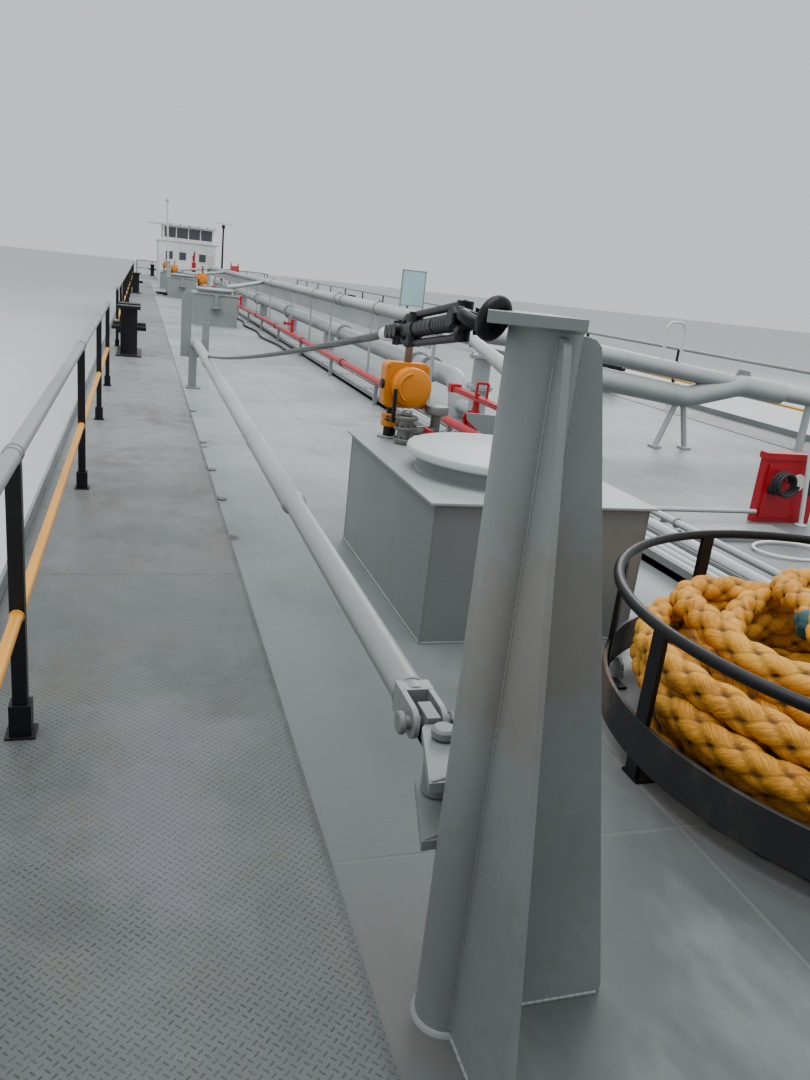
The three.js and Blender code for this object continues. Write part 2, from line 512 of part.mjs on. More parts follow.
function addTrunks() {
  trunks.forEach(({ fore, length, starboard, port, height }, i) => {
    const [top, aft] = [deck + height, fore - length];
    const lidAt = { x: fore - 0.6, y: starboard + 0.54 };
    const body = block([aft, fore], [starboard, port], [deck + seat, top - 0.01]);
    const cover = block([aft - 0.03, fore + 0.03], [starboard - 0.03, port + 0.03], [top - 0.02, top]);
    const coaming = bar([lidAt.x, lidAt.y, top - 0.01], [lidAt.x, lidAt.y, top + lid.rise], lid.coaming, { sides: 20 });
    // hinge lugs on the inboard side of the lid
    const hingeY = lidAt.y + lid.radius + 0.05;
    const hingeZ = top + lid.rise + 0.03;
    const lugs = [-0.12, 0.09].map((along) => plate([[hingeY - 0.035, top - 0.01], [hingeY + 0.035, top - 0.01],
      [hingeY + 0.03, hingeZ + 0.03], [hingeY - 0.03, hingeZ + 0.03]], 'yz', [lidAt.x + along, lidAt.x + along + 0.03]));
    const pin = bar([lidAt.x - 0.13, hingeY, hingeZ], [lidAt.x + 0.13, hingeY, hingeZ], 0.014, { sides: 8 });
    // stools for the gauge and the small valves, and the bracket plate that stands athwartships
    const gaugeAt = [aft + gauge.back, starboard + gauge.inboard];
    const stools = [bar([...gaugeAt, top - 0.01], [...gaugeAt, top + gauge.stool], 0.045, { sides: 10 })];
    for (const { back, inboard, radius, high } of gaugeValves) {
      const place = [aft + back, starboard + inboard];
      stools.push(bar([...place, top - 0.01], [...place, top + high], radius, { sides: 10 }));
    }
    const bracket = plate([[port - 0.48, top + 0.2], [port - 0.47, top + 0.155], [port - 0.26, top - 0.005],
      [port + 0.02, top - 0.005], [port + 0.02, top + 0.18]], 'yz', [aft + 0.234, aft + 0.246]);
    const fittings = [coaming, lugs, pin, stools, bracket];
    if (i > 0) {
      // the gauge is part of the trunk here, with a sounding bar on the fore face
      fittings.push(gaugeShape(...gaugeAt, top + gauge.stool - 0.01, 8));
      const middle = (starboard + port) / 2;
      fittings.push(block([fore - 0.01, fore + 0.05], [middle - 0.05, middle + 0.05], [top - 0.35, top - 0.01]));
      fittings.push(bar([fore + 0.05, middle, top - 0.35], [fore + 0.05, middle, top - 0.31], 0.13, { sides: 12 }));
    }
    addPart(`hatch_trunk_${i + 1}`, join(body, cover, fittings), 'gearGrey');

    const bottom = top + lid.rise + seat;
    const cap = turned([[0, 0], [lid.radius, 0], [lid.radius, lid.thickness - 0.015], [lid.radius - 0.015, lid.thickness],
      [0, lid.thickness + 0.012]], lidAt.x, lidAt.y, bottom, 24);
    const knuckle = bar([lidAt.x - 0.07, hingeY, hingeZ], [lidAt.x + 0.07, hingeY, hingeZ], 0.03, { sides: 10 });
    const strap = block([lidAt.x - 0.05, lidAt.x + 0.05], [lidAt.y + lid.radius - 0.1, hingeY], [hingeZ - 0.012, hingeZ + 0.02]);
    const bore = bar([lidAt.x - 0.2, hingeY, hingeZ], [lidAt.x + 0.2, hingeY, hingeZ], 0.018, { sides: 8 });
    addPart(`tank_lid_${i + 1}`, join(cap, knuckle, strap).subtract(bore), 'gearGrey');
  });
}

// the orange level gauge on the near trunk, and the small valves beside it on one manifold
function addGauge() {
  const { fore, length, starboard, height } = trunks[0];
  const [aft, top] = [fore - length, deck + height];
  addPart('level_gauge', gaugeShape(aft + gauge.back, starboard + gauge.inboard, top + gauge.stool + seat, 14), 'orange');
  const [first, second] = gaugeValves.map(({ back, inboard, high }) => [aft + back, starboard + inboard, top + high + seat]);
  const raised = ([x, y, z], rise) => [x, y, z + rise];
  const flanges = [0, 0.07, 0.135].map((rise) => bar(raised(first, rise), raised(first, rise + 0.02), 0.072, { sides: 12 }));
  const body = bar(first, raised(first, 0.15), 0.05, { sides: 10 });
  const stem = bar(second, raised(second, 0.18), 0.032, { sides: 10 });
  const cap = bar(raised(second, 0.155), raised(second, 0.22), 0.075, { sides: 14 });
  const manifold = bar(raised(first, 0.06), raised(second, 0.06), 0.028, { sides: 8 });
  addPart('gauge_valves', join(body, flanges, stem, cap, manifold), 'steel');
}

// cargo piping along the middle: the high header on its portal legs, the big low line, the fire main and the conduit tray
const header = { y: -0.66, z: deck + 1.16, radius: 0.1, aft: -20.5 };
const crossoverX = 23;
const flangeFace = -0.33; // y where the header meets the crossover

function addHeader() {
  const legs = [21, 17.6, 14.25, 12, 9.25, 5.3, 2.1, -1, -4, -7, -10, -13, -16, -19];
  const bands = [18, 15.4, 14.9, 12.5, 9.8, 5.7, 2.3, -5.5, -14.5];
  const { y, z, radius, aft } = header;
  const run = pipe([[crossoverX, flangeFace, z], [crossoverX, y, z], [aft, y, z], [aft, y, deck + seat]], radius,
    { bend: 0.3, sides: 10, cuts: 3 });
  const endFlange = bar([crossoverX, flangeFace - 0.03, z], [crossoverX, flangeFace, z], radius + 0.06, { sides: 14 });
  const legShapes = legs.flatMap((x) => [
    block([x - 0.05, x + 0.05], [y - 0.01, y + 0.01], [deck + seat, z]),
    block([x - 0.08, x + 0.08], [y - 0.06, y + 0.06], [deck + seat, deck + 0.012]),
  ]);
  const bandShapes = bands.map((x) => bar([x - 0.035, y, z], [x + 0.035, y, z], radius + 0.016, { sides: 10 }));
  // portal plates under the header from leg to leg, their lower corners cut off
  const [plateLow, plateHigh, corner, gap] = [deck + 0.79, z - radius + 0.02, 0.08, 0.1];
  const plates = legs.slice(1).map((x, i) => {
    const [from, to] = [x + gap, legs[i] - gap];
    return uprightPlate([[from, plateHigh], [from, plateLow + corner], [from + corner, plateLow],
      [to - corner, plateLow], [to, plateLow + corner], [to, plateHigh]], [y - 0.007, y + 0.007]);
  });
  // vapour branches down to the hatch trunks, each landing on the trunk's top by its aft port corner
  const branches = trunks.flatMap(({ fore, length, port, height }, i) => {
    const [startX, drop] = [fore - [6.5, 5.5, 5.5, 5.5][i], i ? 0.15 : 0.03];
    const [endX, endY, foot] = [fore - length + 0.1, port - 0.11, deck + height + seat];
    const level = z - 0.03 - drop;
    const route = [[startX, y, z - 0.03], [endX - 0.45, port + 0.08, level], [endX, endY, level], [endX, endY, foot]];
    const landing = bar([endX, endY, foot], [endX, endY, foot + 0.02], 0.1, { sides: 12 });
    return [pipe(route, 0.06, { bend: 0.12, sides: 8, cuts: 2 }), landing];
  });
  addPart('header_pipe', join(run, endFlange, legShapes, bandShapes, plates, branches), 'pipeGrey');
}

function addLowLines() {
  const low = { y: -0.4, z: deck + 0.47, radius: 0.14, fore: 21.5 };
  const lowRun = pipe([[low.fore, low.y, deck + seat], [low.fore, low.y, low.z], [-19, low.y, low.z]], low.radius,
    { bend: 0.32, sides: 14, cuts: 5 });
  const couplings = [20.2, 19.6, 14.5, 7.5, 0.5, -6.5, -13.5].map((x) => (
    bar([x, low.y, low.z], [x + 0.08, low.y, low.z], low.radius + 0.05, { sides: 14 })));
  const saddles = [18.4, 13, 8, 2, -4, -10, -16, -18.6].map((x) => (
    block([x - 0.04, x + 0.04], [low.y - 0.12, low.y + 0.12], [deck + seat, low.z])));
  // upright valve beside the elbow, on a short manifold at the deck
  const valveX = low.fore + 0.65;
  const column = (z0, z1, radius) => bar([valveX, low.y, deck + z0], [valveX, low.y, deck + z1], radius, { sides: 14 });
  const valve = [column(seat, 0.86, 0.11), column(0.46, 0.5, 0.17), column(0.84, 0.88, 0.17),
    bar([low.fore, low.y, deck + 0.16], [valveX, low.y, deck + 0.16], 0.09, { sides: 10 })];
  addPart('cargo_pipe', join(lowRun, couplings, saddles, valve), 'pipeGrey');

  const main = { y: -1.4, z: deck + 0.32, radius: 0.045, fore: 26, aft: -22.5 };
  const mainRun = pipe([[main.fore, main.y, deck + seat], [main.fore, main.y, main.z], [main.aft, main.y, main.z],
    [main.aft, main.y, deck + 1.5]], main.radius, { bend: 0.15, sides: 8, cuts: 2 });
  const mainPosts = Array.from({ length: 16 }, (_, i) => 23.9 - 2.95 * i).map((x) => (
    block([x - 0.03, x + 0.03], [main.y - 0.025, main.y + 0.025], [deck + seat, main.z])));
  const sleeves = Array.from({ length: 8 }, (_, i) => 22.4 - 3.6 * i).map((x) => (
    bar([x - 0.07, main.y, main.z], [x + 0.07, main.y, main.z], main.radius + 0.014, { sides: 8 })));
  const hydrants = [13.9, 3.9, -6.1, -16.1].flatMap((x) => [
    bar([x, main.y, main.z], [x, main.y, main.z + 0.3], 0.035, { sides: 8 }),
    bar([x, main.y, main.z + 0.22], [x, main.y - 0.16, main.z + 0.22], 0.03, { sides: 8 }),
    bar([x, main.y, main.z + 0.28], [x, main.y, main.z + 0.31], 0.08, { sides: 8 }),
  ]);
  const monitor = [
    bar([main.aft, main.y, deck + 1.4], [main.aft, main.y, deck + 1.75], 0.07, { sides: 12 }),
    bar([main.aft, main.y, deck + 1.7], [main.aft + 0.7, main.y, deck + 1.95], 0.06, { sides: 12, endRadius: 0.04 }),
    block([main.aft - 0.12, main.aft + 0.12], [main.y - 0.12, main.y + 0.12], [deck + seat, deck + 1.35]),
  ];
  addPart('fire_main', join(mainRun, mainPosts, sleeves, hydrants, monitor), 'red');
}

// conduit tray on the deck: it steps to port near its fore end, and two small pipes join it there
function addTray() {
  const tray = { aft: -21, fore: 28.45, starboard: -1.35, port: -1.02, step: 0.2, stepAft: 25.3, stepFore: 25.75 };
  const outline = (inset) => [
    [tray.aft + inset, tray.starboard + inset], [tray.stepAft, tray.starboard + inset],
    [tray.stepFore, tray.starboard + tray.step + inset], [tray.fore - inset, tray.starboard + tray.step + inset],
    [tray.fore - inset, tray.port + tray.step - inset], [tray.stepFore, tray.port + tray.step - inset],
    [tray.stepAft, tray.port - inset], [tray.aft + inset, tray.port - inset],
  ];
  const channel = plate(outline(0), 'xy', [deck + seat, deck + 0.1])
    .subtract(plate(outline(0.014), 'xy', [deck + 0.05, deck + 0.2]));
  const conduits = [0.08, 0.165, 0.25].map((inboard) => {
    const [y, z] = [tray.starboard + inboard, deck + 0.07];
    const route = [[tray.aft + 0.01, y, z], [tray.stepAft, y, z],
      [tray.stepFore, y + tray.step, z], [tray.fore - 0.01, y + tray.step, z]];
    return pipe(route, 0.026, { bend: 0.2, sides: 8, cuts: 1 });
  });
  const sidePipes = [
    // y, radius, x of the fore end
    { y: -0.76, radius: 0.045, fore: 28.75 },
    { y: -0.5, radius: 0.028, fore: 28.75 },
  ].map(({ y, radius, fore }) => pipe(
    [[fore, y, deck + seat], [fore, y, deck + 0.1], [25.95, y, deck + 0.1], [25.95, y, deck + seat]],
    radius, { bend: 0.06, sides: 8, cuts: 2 },
  ));
  const clamps = [28.1, 26.7].map((x) => (
    block([x - 0.03, x + 0.03], [tray.port + tray.step - 0.02, -0.46], [deck + seat, deck + 0.09])));
  const across = [
    block([26.45, 26.85], [tray.port + tray.step - 0.01, 0.6], [deck + seat, deck + 0.03]),
    bar([26.3, -0.79, deck + 0.1], [26.3, 0.55, deck + 0.1], 0.02, { sides: 8 }),
  ];
  addPart('conduit_tray', join(channel, conduits, sidePipes, clamps, across), 'gearGrey');
}

// crossover lines from the middle piping to the port side, on splayed legs
function addCrossover() {
  const x = crossoverX;
  const upper = pipe([[x, flangeFace + seat, header.z], [x, -0.15, header.z], [x, 0.7, deck + 1.08],
    [x, 2.76, deck + 0.85], [x, 3.9, deck + 0.74], [x, 4.5, deck + 0.74]], header.radius, { bend: 1, sides: 12, cuts: 3 });
  const lower = pipe([[x, flangeFace + 0.03, deck + 0.91], [x, 0.77, deck + 0.79], [x, 2.0, deck + 0.65], [x, 2.75, deck + 0.84],
    [x, 3.4, deck + 0.78]], 0.135, { bend: 0.5, sides: 14, cuts: 3 });
  const legs = [[1.7, 1.9], [2.13, 1.98]].flatMap(([foot, head]) => [
    bar([x, foot, deck + 0.02], [x, head, deck + 0.6], 0.035, { sides: 8 }),
    block([x - 0.07, x + 0.07], [foot - 0.06, foot + 0.06], [deck + seat, deck + 0.03]),
  ]);
  const riser = bar([x, 3.9, deck + seat], [x, 3.9, deck + 0.74], 0.05, { sides: 8 });
  const flanges = [[4.46, 4.5, 0.74, 0.15], [flangeFace + seat, flangeFace + 0.03, 1.16, header.radius + 0.06]]
    .map(([y0, y1, z, radius]) => bar([x, y0, deck + z], [x, y1, deck + z], radius, { sides: 16 }));
  const inner = bar([x, -0.12, deck + seat], [x, -0.12, deck + 1.1], 0.07, { sides: 10 });
  addPart('crossover_pipes', join(upper, lower, legs, riser, flanges, inner), 'pipeGrey');

  // valve with a long lever and a square loop handle
  const v = { x: 24, y: -1.17, z: deck + 0.5 };
  const loopOutside = block([v.x + 0.1, v.x + 0.13], [v.y - 0.07, v.y + 0.07], [v.z + 0.1, v.z + 0.27]);
  const loopInside = block([v.x, v.x + 0.2], [v.y - 0.045, v.y + 0.045], [v.z + 0.13, v.z + 0.24]);
  const valve = join(
    bar([v.x, v.y, deck + 0.096 + seat], [v.x, v.y, v.z + 0.1], 0.05, { sides: 12 }),
    bar([v.x - 0.13, v.y, v.z - 0.14], [v.x + 0.13, v.y, v.z - 0.14], 0.085, { sides: 14 }),
    block([v.x - 0.7, v.x + 0.6], [v.y - 0.045, v.y + 0.045], [v.z + 0.065, v.z + 0.115]),
    loopOutside.subtract(loopInside),
  );
  addPart('deck_valve', valve, 'red');
  addPart('fire_box', block([26.2, 26.28], [0.57, 1.15], [deck + seat, deck + 0.6]), 'red');
}

// deckhouse, wheelhouse on top of it, their doors and roofs
function wallRing({ fore, aft, starboard, port, wall }, [low, high]) {
  return block([aft, fore], [starboard, port], [low, high])
    .subtract(block([aft + wall, fore - wall], [starboard + wall, port - wall], [low - 0.1, high + 0.1]));
}

const doors = [
  // wall it is in, from and to along that wall, sill and head above the deck
  { name: 'house_door_port', wall: 'port', from: -27.9, to: -27.1, sill: 0.12, head: 2.05 },
  { name: 'house_door_aft', wall: 'aft', from: -2.0, to: -1.25, sill: 0.12, head: 2.05 },
];
const doorLeaf = { clearance: 0.012, thickness: 0.05, inset: 0.01, barrel: 0.014, proud: 0.018 };

// a door leaf, and the hinge barrels that its wall carries, with the leaf on the wall's outer face
function hingedDoor({ name, wall, from, to, sill, head }) {
  const { clearance, thickness, inset, barrel, proud } = doorLeaf;
  // along the wall and outwards from it, into x and y
  const span = (along, out, z) => {
    const outwards = out.map((value) => (wall === 'port' ? house.port + value : house.aft - value))
      .sort((a, b) => a - b);
    return wall === 'port' ? block(along, outwards, z) : block(outwards, along, z);
  };
  const upright = (out, z) => {
    const place = wall === 'port' ? [to, house.port + out] : [house.aft - out, to];
    return bar([...place, z[0]], [...place, z[1]], barrel, { sides: 8 });
  };
  const handle = span([from + 0.08, from + 0.12], [-inset - 0.01, 0.05], [deck + 1.0, deck + 1.04]);
  const leaf = [handle, span([from + clearance, to - clearance], [-inset - thickness, -inset],
    [deck + sill + clearance, deck + head - clearance])];
  const wallBarrels = [];
  for (const height of [0.4, 1.6]) {
    const z = deck + sill + height;
    wallBarrels.push(upright(proud, [z, z + 0.08]));
    wallBarrels.push(span([to - 0.004, to + 0.03], [-0.02, proud + 0.005], [z + 0.005, z + 0.075]));
    leaf.push(upright(proud, [z + 0.08 + seat, z + 0.16]));
    leaf.push(span([to - 0.06, to - 0.002], [-inset - 0.02, proud + 0.005], [z + 0.09, z + 0.155]));
  }
  addPart(name, join(leaf), 'white');
  return wallBarrels;
}

function addHouse() {
  const floor = deck + seat;
  const top = deck + house.height;
  const holes = [];
  for (const x of [-31.2, -32.9]) {
    holes.push(block([x, x + 0.6], [house.starboard - 0.2, house.starboard + 0.3], [deck + 1.3, deck + 1.85]));
  }
  for (const y of [-2.9, -0.9]) {
    holes.push(block([house.aft - 0.2, house.aft + 0.3], [y, y + 0.6], [deck + 1.3, deck + 1.85]));
  }
  for (const { wall, from, to, sill, head } of doors) {
    const height = [deck + sill, deck + head];
    if (wall === 'port') holes.push(block([from, to], [house.port - 0.3, house.port + 0.2], height));
    else holes.push(block([house.aft - 0.2, house.aft + 0.3], [from, to], height));
  }
  const walls = holes.reduce((ring, hole) => ring.subtract(hole), wallRing(house, [floor, top]));
  addPart('house_walls', join(walls, doors.map(hingedDoor)), 'white');
  const roofTop = top + 0.06;
  const well = block([wheelhouse.aft + 0.2, wheelhouse.fore - 0.2], [wheelhouse.starboard + 0.2, wheelhouse.port - 0.2],
    [top - 0.1, roofTop + 0.1]);
  const roofPlate = block([house.aft - 0.15, house.fore + 0.1], [house.starboard - 0.1, house.port + 0.3],
    [top + seat, roofTop]);
  addPart('house_roof', roofPlate.subtract(well), 'white');

  // wheelhouse: walls with a window band, the glass inside it and the roof with its wings
  const base = roofTop + seat;
  const band = { low: roofTop + wheelhouse.sill, high: roofTop + wheelhouse.head };
  const w = wheelhouse;
  const windows = [];
  const spanY = w.port - w.starboard - 2 * w.wall;
  const spanX = w.fore - w.aft - 2 * w.wall;
  const post = 0.06;
  for (let i = 0; i < 4; i += 1) {
    const y = w.starboard + w.wall + (spanY / 4) * i;
    windows.push(block([w.aft - 0.2, w.fore + 0.2], [y + post / 2, y + spanY / 4 - post / 2], [band.low, band.high]));
  }
  for (const i of [0, 1, 2, 3]) {
    const x = w.aft + w.wall + (spanX / 4) * i;
    windows.push(block([x + post / 2, x + spanX / 4 - post / 2], [w.starboard - 0.2, w.port + 0.2], [band.low, band.high]));
  }
  addPart('wheelhouse_walls', windows.reduce((ring, hole) => ring.subtract(hole), wallRing(w, [base, band.high + 0.08])), 'white');
  const inside = { fore: w.fore - w.wall - seat, aft: w.aft + w.wall + seat, starboard: w.starboard + w.wall + seat,
    port: w.port - w.wall - seat, wall: 0.012 };
  addPart('wheelhouse_glass', wallRing(inside, [band.low - 0.03, band.high + 0.03]), 'windowGlass');
  const roofLow = band.high + 0.08 + seat;
  const roof = join(
    block([w.aft - 0.25, w.fore + 0.45], [w.starboard - 0.06, w.port + 0.1], [roofLow, roofLow + 0.14]),
    block([w.fore - 0.8, w.fore + 0.2], [w.starboard - 0.9, w.starboard], [roofLow + 0.02, roofLow + 0.08]),
  );
  addPart('wheelhouse_roof', roof, 'white');
}

// mast with the turning scanner, and the hose reel beside the house
function addMastAndReel() {
  const [x, y, top] = [-24.4, 0.42, deck + 3.72];
  const mast = join(bar([x, y, deck + seat], [x, y, top], 0.07, { sides: 12, endRadius: 0.05 }),
    bar([x, y, deck + seat], [x, y, deck + 0.03], 0.18, { sides: 12 }),
    bar([x, y, top - 0.2], [x, y, top], 0.1, { sides: 12 }));
  addPart('radar_mast', mast, 'black');
  const scanner = join(bar([x, y, top + seat], [x, y, top + 0.06], 0.06, { sides: 12 }),
    block([x - 0.06, x + 0.06], [y - 0.6, y + 0.6], [top + 0.05, top + 0.14]));
  addPart('radar_scanner', scanner, 'white');

  const reel = { x: -23.4, y: 1.1, z: deck + 1.1, radius: 0.5, half: 0.22 };
  const axle = reel.half + 0.09;
  const frame = [-1, 1].map((side) => {
    const plane = reel.y + side * (reel.half + 0.05);
    return uprightPlate([[reel.x - 0.4, deck + seat], [reel.x - 0.3, deck + seat], [reel.x, reel.z - 0.12],
      [reel.x + 0.3, deck + seat], [reel.x + 0.4, deck + seat], [reel.x + 0.06, reel.z + 0.05],
      [reel.x - 0.06, reel.z + 0.05]], [plane - 0.02, plane + 0.02]);
  });
  const pin = bar([reel.x, reel.y - axle, reel.z], [reel.x, reel.y + axle, reel.z], 0.025, { sides: 12 });
  const tie = block([reel.x - 0.38, reel.x - 0.32], [reel.y - reel.half - 0.06, reel.y + reel.half + 0.06],
    [deck + seat, deck + 0.06]);
  addPart('hose_reel_stand', join(frame, pin, tie), 'red');
  const disc = (low, high, radius) => bar([reel.x, reel.y + low, reel.z], [reel.x, reel.y + high, reel.z], radius, { sides: 20 });
  const bore = bar([reel.x, reel.y - 1, reel.z], [reel.x, reel.y + 1, reel.z], 0.0268, { sides: 12 });
  const drum = join(disc(-reel.half, -reel.half + 0.02, reel.radius), disc(reel.half - 0.02, reel.half, reel.radius),
    disc(-reel.half, reel.half, 0.3));
  addPart('hose_reel', drum.subtract(bore), 'red');
}

addHull();
addSternGear();
addWalkways();
addBulwark();
addRails();
addBitts();
addWindlass();
addDerrick();
addAfterDerrick();
addBasket();
addTrunks();
addGauge();
addHeader();
addLowLines();
addTray();
addCrossover();
addHouse();
addMastAndReel();

export default barge;
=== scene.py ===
import math

import bmesh
import bpy
import numpy as np
from mathutils import Matrix, Vector


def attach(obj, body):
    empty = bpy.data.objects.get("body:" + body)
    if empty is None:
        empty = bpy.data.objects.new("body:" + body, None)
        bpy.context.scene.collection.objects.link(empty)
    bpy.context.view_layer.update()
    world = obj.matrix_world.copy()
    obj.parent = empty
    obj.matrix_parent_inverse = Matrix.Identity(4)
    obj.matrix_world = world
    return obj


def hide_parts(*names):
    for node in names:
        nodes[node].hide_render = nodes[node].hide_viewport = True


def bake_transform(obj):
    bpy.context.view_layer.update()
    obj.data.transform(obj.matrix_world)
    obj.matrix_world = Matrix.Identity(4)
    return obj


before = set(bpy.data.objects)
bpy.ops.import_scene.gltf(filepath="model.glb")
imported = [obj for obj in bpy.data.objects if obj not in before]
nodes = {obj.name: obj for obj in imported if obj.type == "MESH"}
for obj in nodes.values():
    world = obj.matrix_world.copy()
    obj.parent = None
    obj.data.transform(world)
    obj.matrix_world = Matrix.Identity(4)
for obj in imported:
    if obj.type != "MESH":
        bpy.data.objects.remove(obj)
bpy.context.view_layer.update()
print("frame loaded:", len(nodes), "nodes")

# sizes are in metres of the full-size barge, z above its deck, as in the part's source; the model is half of that.
# Finishes and their stains are in model metres
half = 0.5
deckZ = 1.8
axisX, axisY, axisZ = (1, 0, 0), (0, 1, 0), (0, 0, 1)


def inModel(points):
    # full-size points into the model: halved, and raised by the model's deck height
    return np.asarray(points, float) * half + np.array([0.0, 0.0, deckZ])


# camera
view = {"place": (16.0, -2.2275, 2.625), "yaw": -18.545, "pitch": 17.06, "roll": -6.35, "lens": 28.0,
        "sensor": 36.0}


def addCamera():
    # forward from yaw and pitch, then right and down turned by the roll; the yaw counts from aft
    yaw, pitch, roll = (math.radians(view[key]) for key in ("yaw", "pitch", "roll"))
    forward = Vector((math.cos(pitch) * math.cos(yaw), math.cos(pitch) * math.sin(yaw), -math.sin(pitch)))
    level = Vector((math.sin(yaw), -math.cos(yaw), 0))
    drop = forward.cross(level)
    right = math.cos(roll) * level + math.sin(roll) * drop
    down = -math.sin(roll) * level + math.cos(roll) * drop
    axes = [Vector((-v.x, -v.y, v.z)) for v in (right, -down, -forward)]
    data = bpy.data.cameras.new("camera")
    data.lens, data.sensor_width, data.sensor_fit = view["lens"], view["sensor"], "AUTO"
    data.clip_start, data.clip_end = 0.02, 500
    camera = bpy.data.objects.new("camera", data)
    camera.matrix_world = Matrix.Translation(view["place"]) @ Matrix(axes).transposed().to_4x4()
    bpy.context.scene.collection.objects.link(camera)
    bpy.context.scene.camera = camera


addCamera()


# shaders
class Term:
    # one socket; Python's operators on it add the Math nodes
    def __init__(self, finish, socket):
        self.finish, self.socket = finish, socket

    def math(self, operation, *others):
        return self.finish.node("ShaderNodeMath", {"operation": operation}, dict(enumerate((self, *others))))

    def __add__(self, other):
        return self.math("ADD", other)

    def __sub__(self, other):
        return self.math("SUBTRACT", other)

    def __rsub__(self, other):
        return self.finish.number(other).math("SUBTRACT", self)

    def __mul__(self, other):
        return self.math("MULTIPLY", other)

    def __truediv__(self, other):
        return self.math("DIVIDE", other)

    def __gt__(self, other):
        return self.math("GREATER_THAN", other)

    __radd__ = __add__
    __rmul__ = __mul__

    def smooth(self, low, high):
        # 0 below low, 1 above high, smooth between
        settings = {"interpolation_type": "SMOOTHSTEP"}
        return self.finish.node("ShaderNodeMapRange", settings, {0: self, 1: low, 2: high})


class Finish:
    # one material with its shader; object coordinates are in model metres
    def __init__(self, name, color, roughness=0.5, metallic=0.0, **fixed):
        self.material = bpy.data.materials.new(name)
        self.material.use_nodes = True
        self.tree = self.material.node_tree
        self.shader = next(n for n in self.tree.nodes if n.type == "BSDF_PRINCIPLED")
        self.set("Base Color", (*color, 1))
        self.set("Roughness", roughness)
        self.set("Metallic", metallic)
        for key, value in fixed.items():
            self.set(key.replace("_", " "), value)

    def plug(self, socket, value):
        if isinstance(value, Term):
            self.tree.links.new(value.socket, socket)
        elif hasattr(value, "__len__") and len(value) == 3 and len(socket.default_value) == 4:
            socket.default_value = (*value, 1)
        else:
            socket.default_value = value

    def node(self, kind, settings, sockets, output=0):
        made = self.tree.nodes.new(kind)
        for key, value in settings.items():
            setattr(made, key, value)
        for key, value in sockets.items():
            self.plug(made.inputs[key], value)
        return Term(self, made.outputs[output])

    def set(self, socket, value):
        self.plug(self.shader.inputs[socket], value)

    def number(self, value):
        return self.node("ShaderNodeMath", {"operation": "ADD"}, {0: value, 1: 0.0})

    def place(self, kind="Object"):
        # where the shaded point is: object coordinates, or the piece's UV
        return self.node("ShaderNodeTexCoord", {}, {}, kind)

    def parts(self, vector=None):
        source = vector or self.place()
        return [self.node("ShaderNodeSeparateXYZ", {}, {0: source}, i) for i in range(3)]

    def scaled(self, vector, factors):
        return self.node("ShaderNodeVectorMath", {"operation": "MULTIPLY"}, {0: vector, 1: factors})

    def noise(self, scale, detail=3.0, stretch=(1, 1, 1), vector=None, roughness=0.55):
        source = vector or self.place()
        if stretch != (1, 1, 1):
            source = self.scaled(source, stretch)
        sockets = {"Vector": source, "Scale": scale, "Detail": detail, "Roughness": roughness}
        return self.node("ShaderNodeTexNoise", {}, sockets)

    def blendColors(self, factor, first, second):
        return self.node("ShaderNodeMix", {"data_type": "RGBA"}, {0: factor, 6: first, 7: second}, 2)

    def bump(self, height, strength=0.3, distance=0.001):
        normal = self.node("ShaderNodeBump", {}, {"Height": height, "Strength": strength, "Distance": distance})
        self.set("Normal", normal)

    def spot(self, x, y, z, radius, reach=1.0):
        # 1 near a model point, fading to 0 at the radius; the edge is broken up by noise
        gap = self.node("ShaderNodeVectorMath", {"operation": "DISTANCE"}, {0: self.place(), 1: (x, y, z)}, 1)
        ragged = gap / radius + (self.noise(9 / max(radius, 0.05), 4) - 0.5) * 0.9
        return (1 - ragged.smooth(0.45, 1.0)) * reach


# sizes and colours of the paint's patches, grain, dirt and specks, and the span in x over which painted shade
# darkens paint towards the foredeck
wearAndShade = {"patchScale": 1.7, "grainScale": 55, "dirtScale": 7, "speckScale": 160, "dirt": (0.16, 0.15, 0.12),
        "speck": (0.13, 0.1, 0.075), "nearShadeFrom": 12.6, "nearShadeTo": 15.2}


def paintFinish(name, color, roughness=0.45, patch=0.08, grime=0.25, speckle=0.35, stains=(), nearShade=0.0,
                undersideShade=0.0):
    # satin paint: broad patches, fine brush and spray grain, faint rust specks and dirt; painted shade darkens it
    # towards the foredeck, and painted shade darkens its undersides
    made = Finish(name, color, roughness)
    broad = made.noise(wearAndShade["patchScale"], 4)
    fine = made.noise(wearAndShade["grainScale"], 3)
    dark, light = (tuple(c * k for c in color) for k in (1 - 2.2 * patch, 1 + 1.6 * patch))
    base = made.blendColors(broad.smooth(0.3, 0.72), dark, light)
    if nearShade:
        # painted shade: darker towards the foredeck
        fore = made.parts()[0].smooth(wearAndShade["nearShadeFrom"], wearAndShade["nearShadeTo"]) * nearShade
        base = made.blendColors(fore, base, tuple(c * 0.5 for c in color))
    dirt = made.noise(wearAndShade["dirtScale"], 6, (1, 1, 0.35), roughness=0.7).smooth(0.52, 0.78) * grime
    base = made.blendColors(dirt, base, wearAndShade["dirt"])
    if undersideShade:
        # painted shade: the undersides darker
        down = made.parts(made.node("ShaderNodeNewGeometry", {}, {}, "Normal"))[2]
        base = made.blendColors((1 - down.smooth(-0.75, 0.35)) * undersideShade, base, tuple(c * 0.3 for c in color))
    specks = (made.noise(wearAndShade["speckScale"], 2) > 0.74) * speckle
    base = made.blendColors(specks, base, wearAndShade["speck"])
    for x, y, z, radius, depth, shade in stains:
        base = made.blendColors(made.spot(x, y, z, radius, depth), base, shade)
    made.set("Base Color", base)
    made.set("Roughness", broad * 0.18 + fine * 0.12 + (roughness - 0.14) + dirt * 0.3)
    made.bump(fine * 0.5 + made.noise(14, 3) * 1.2 + specks * 0.6, 0.35, 0.0012)
    return made


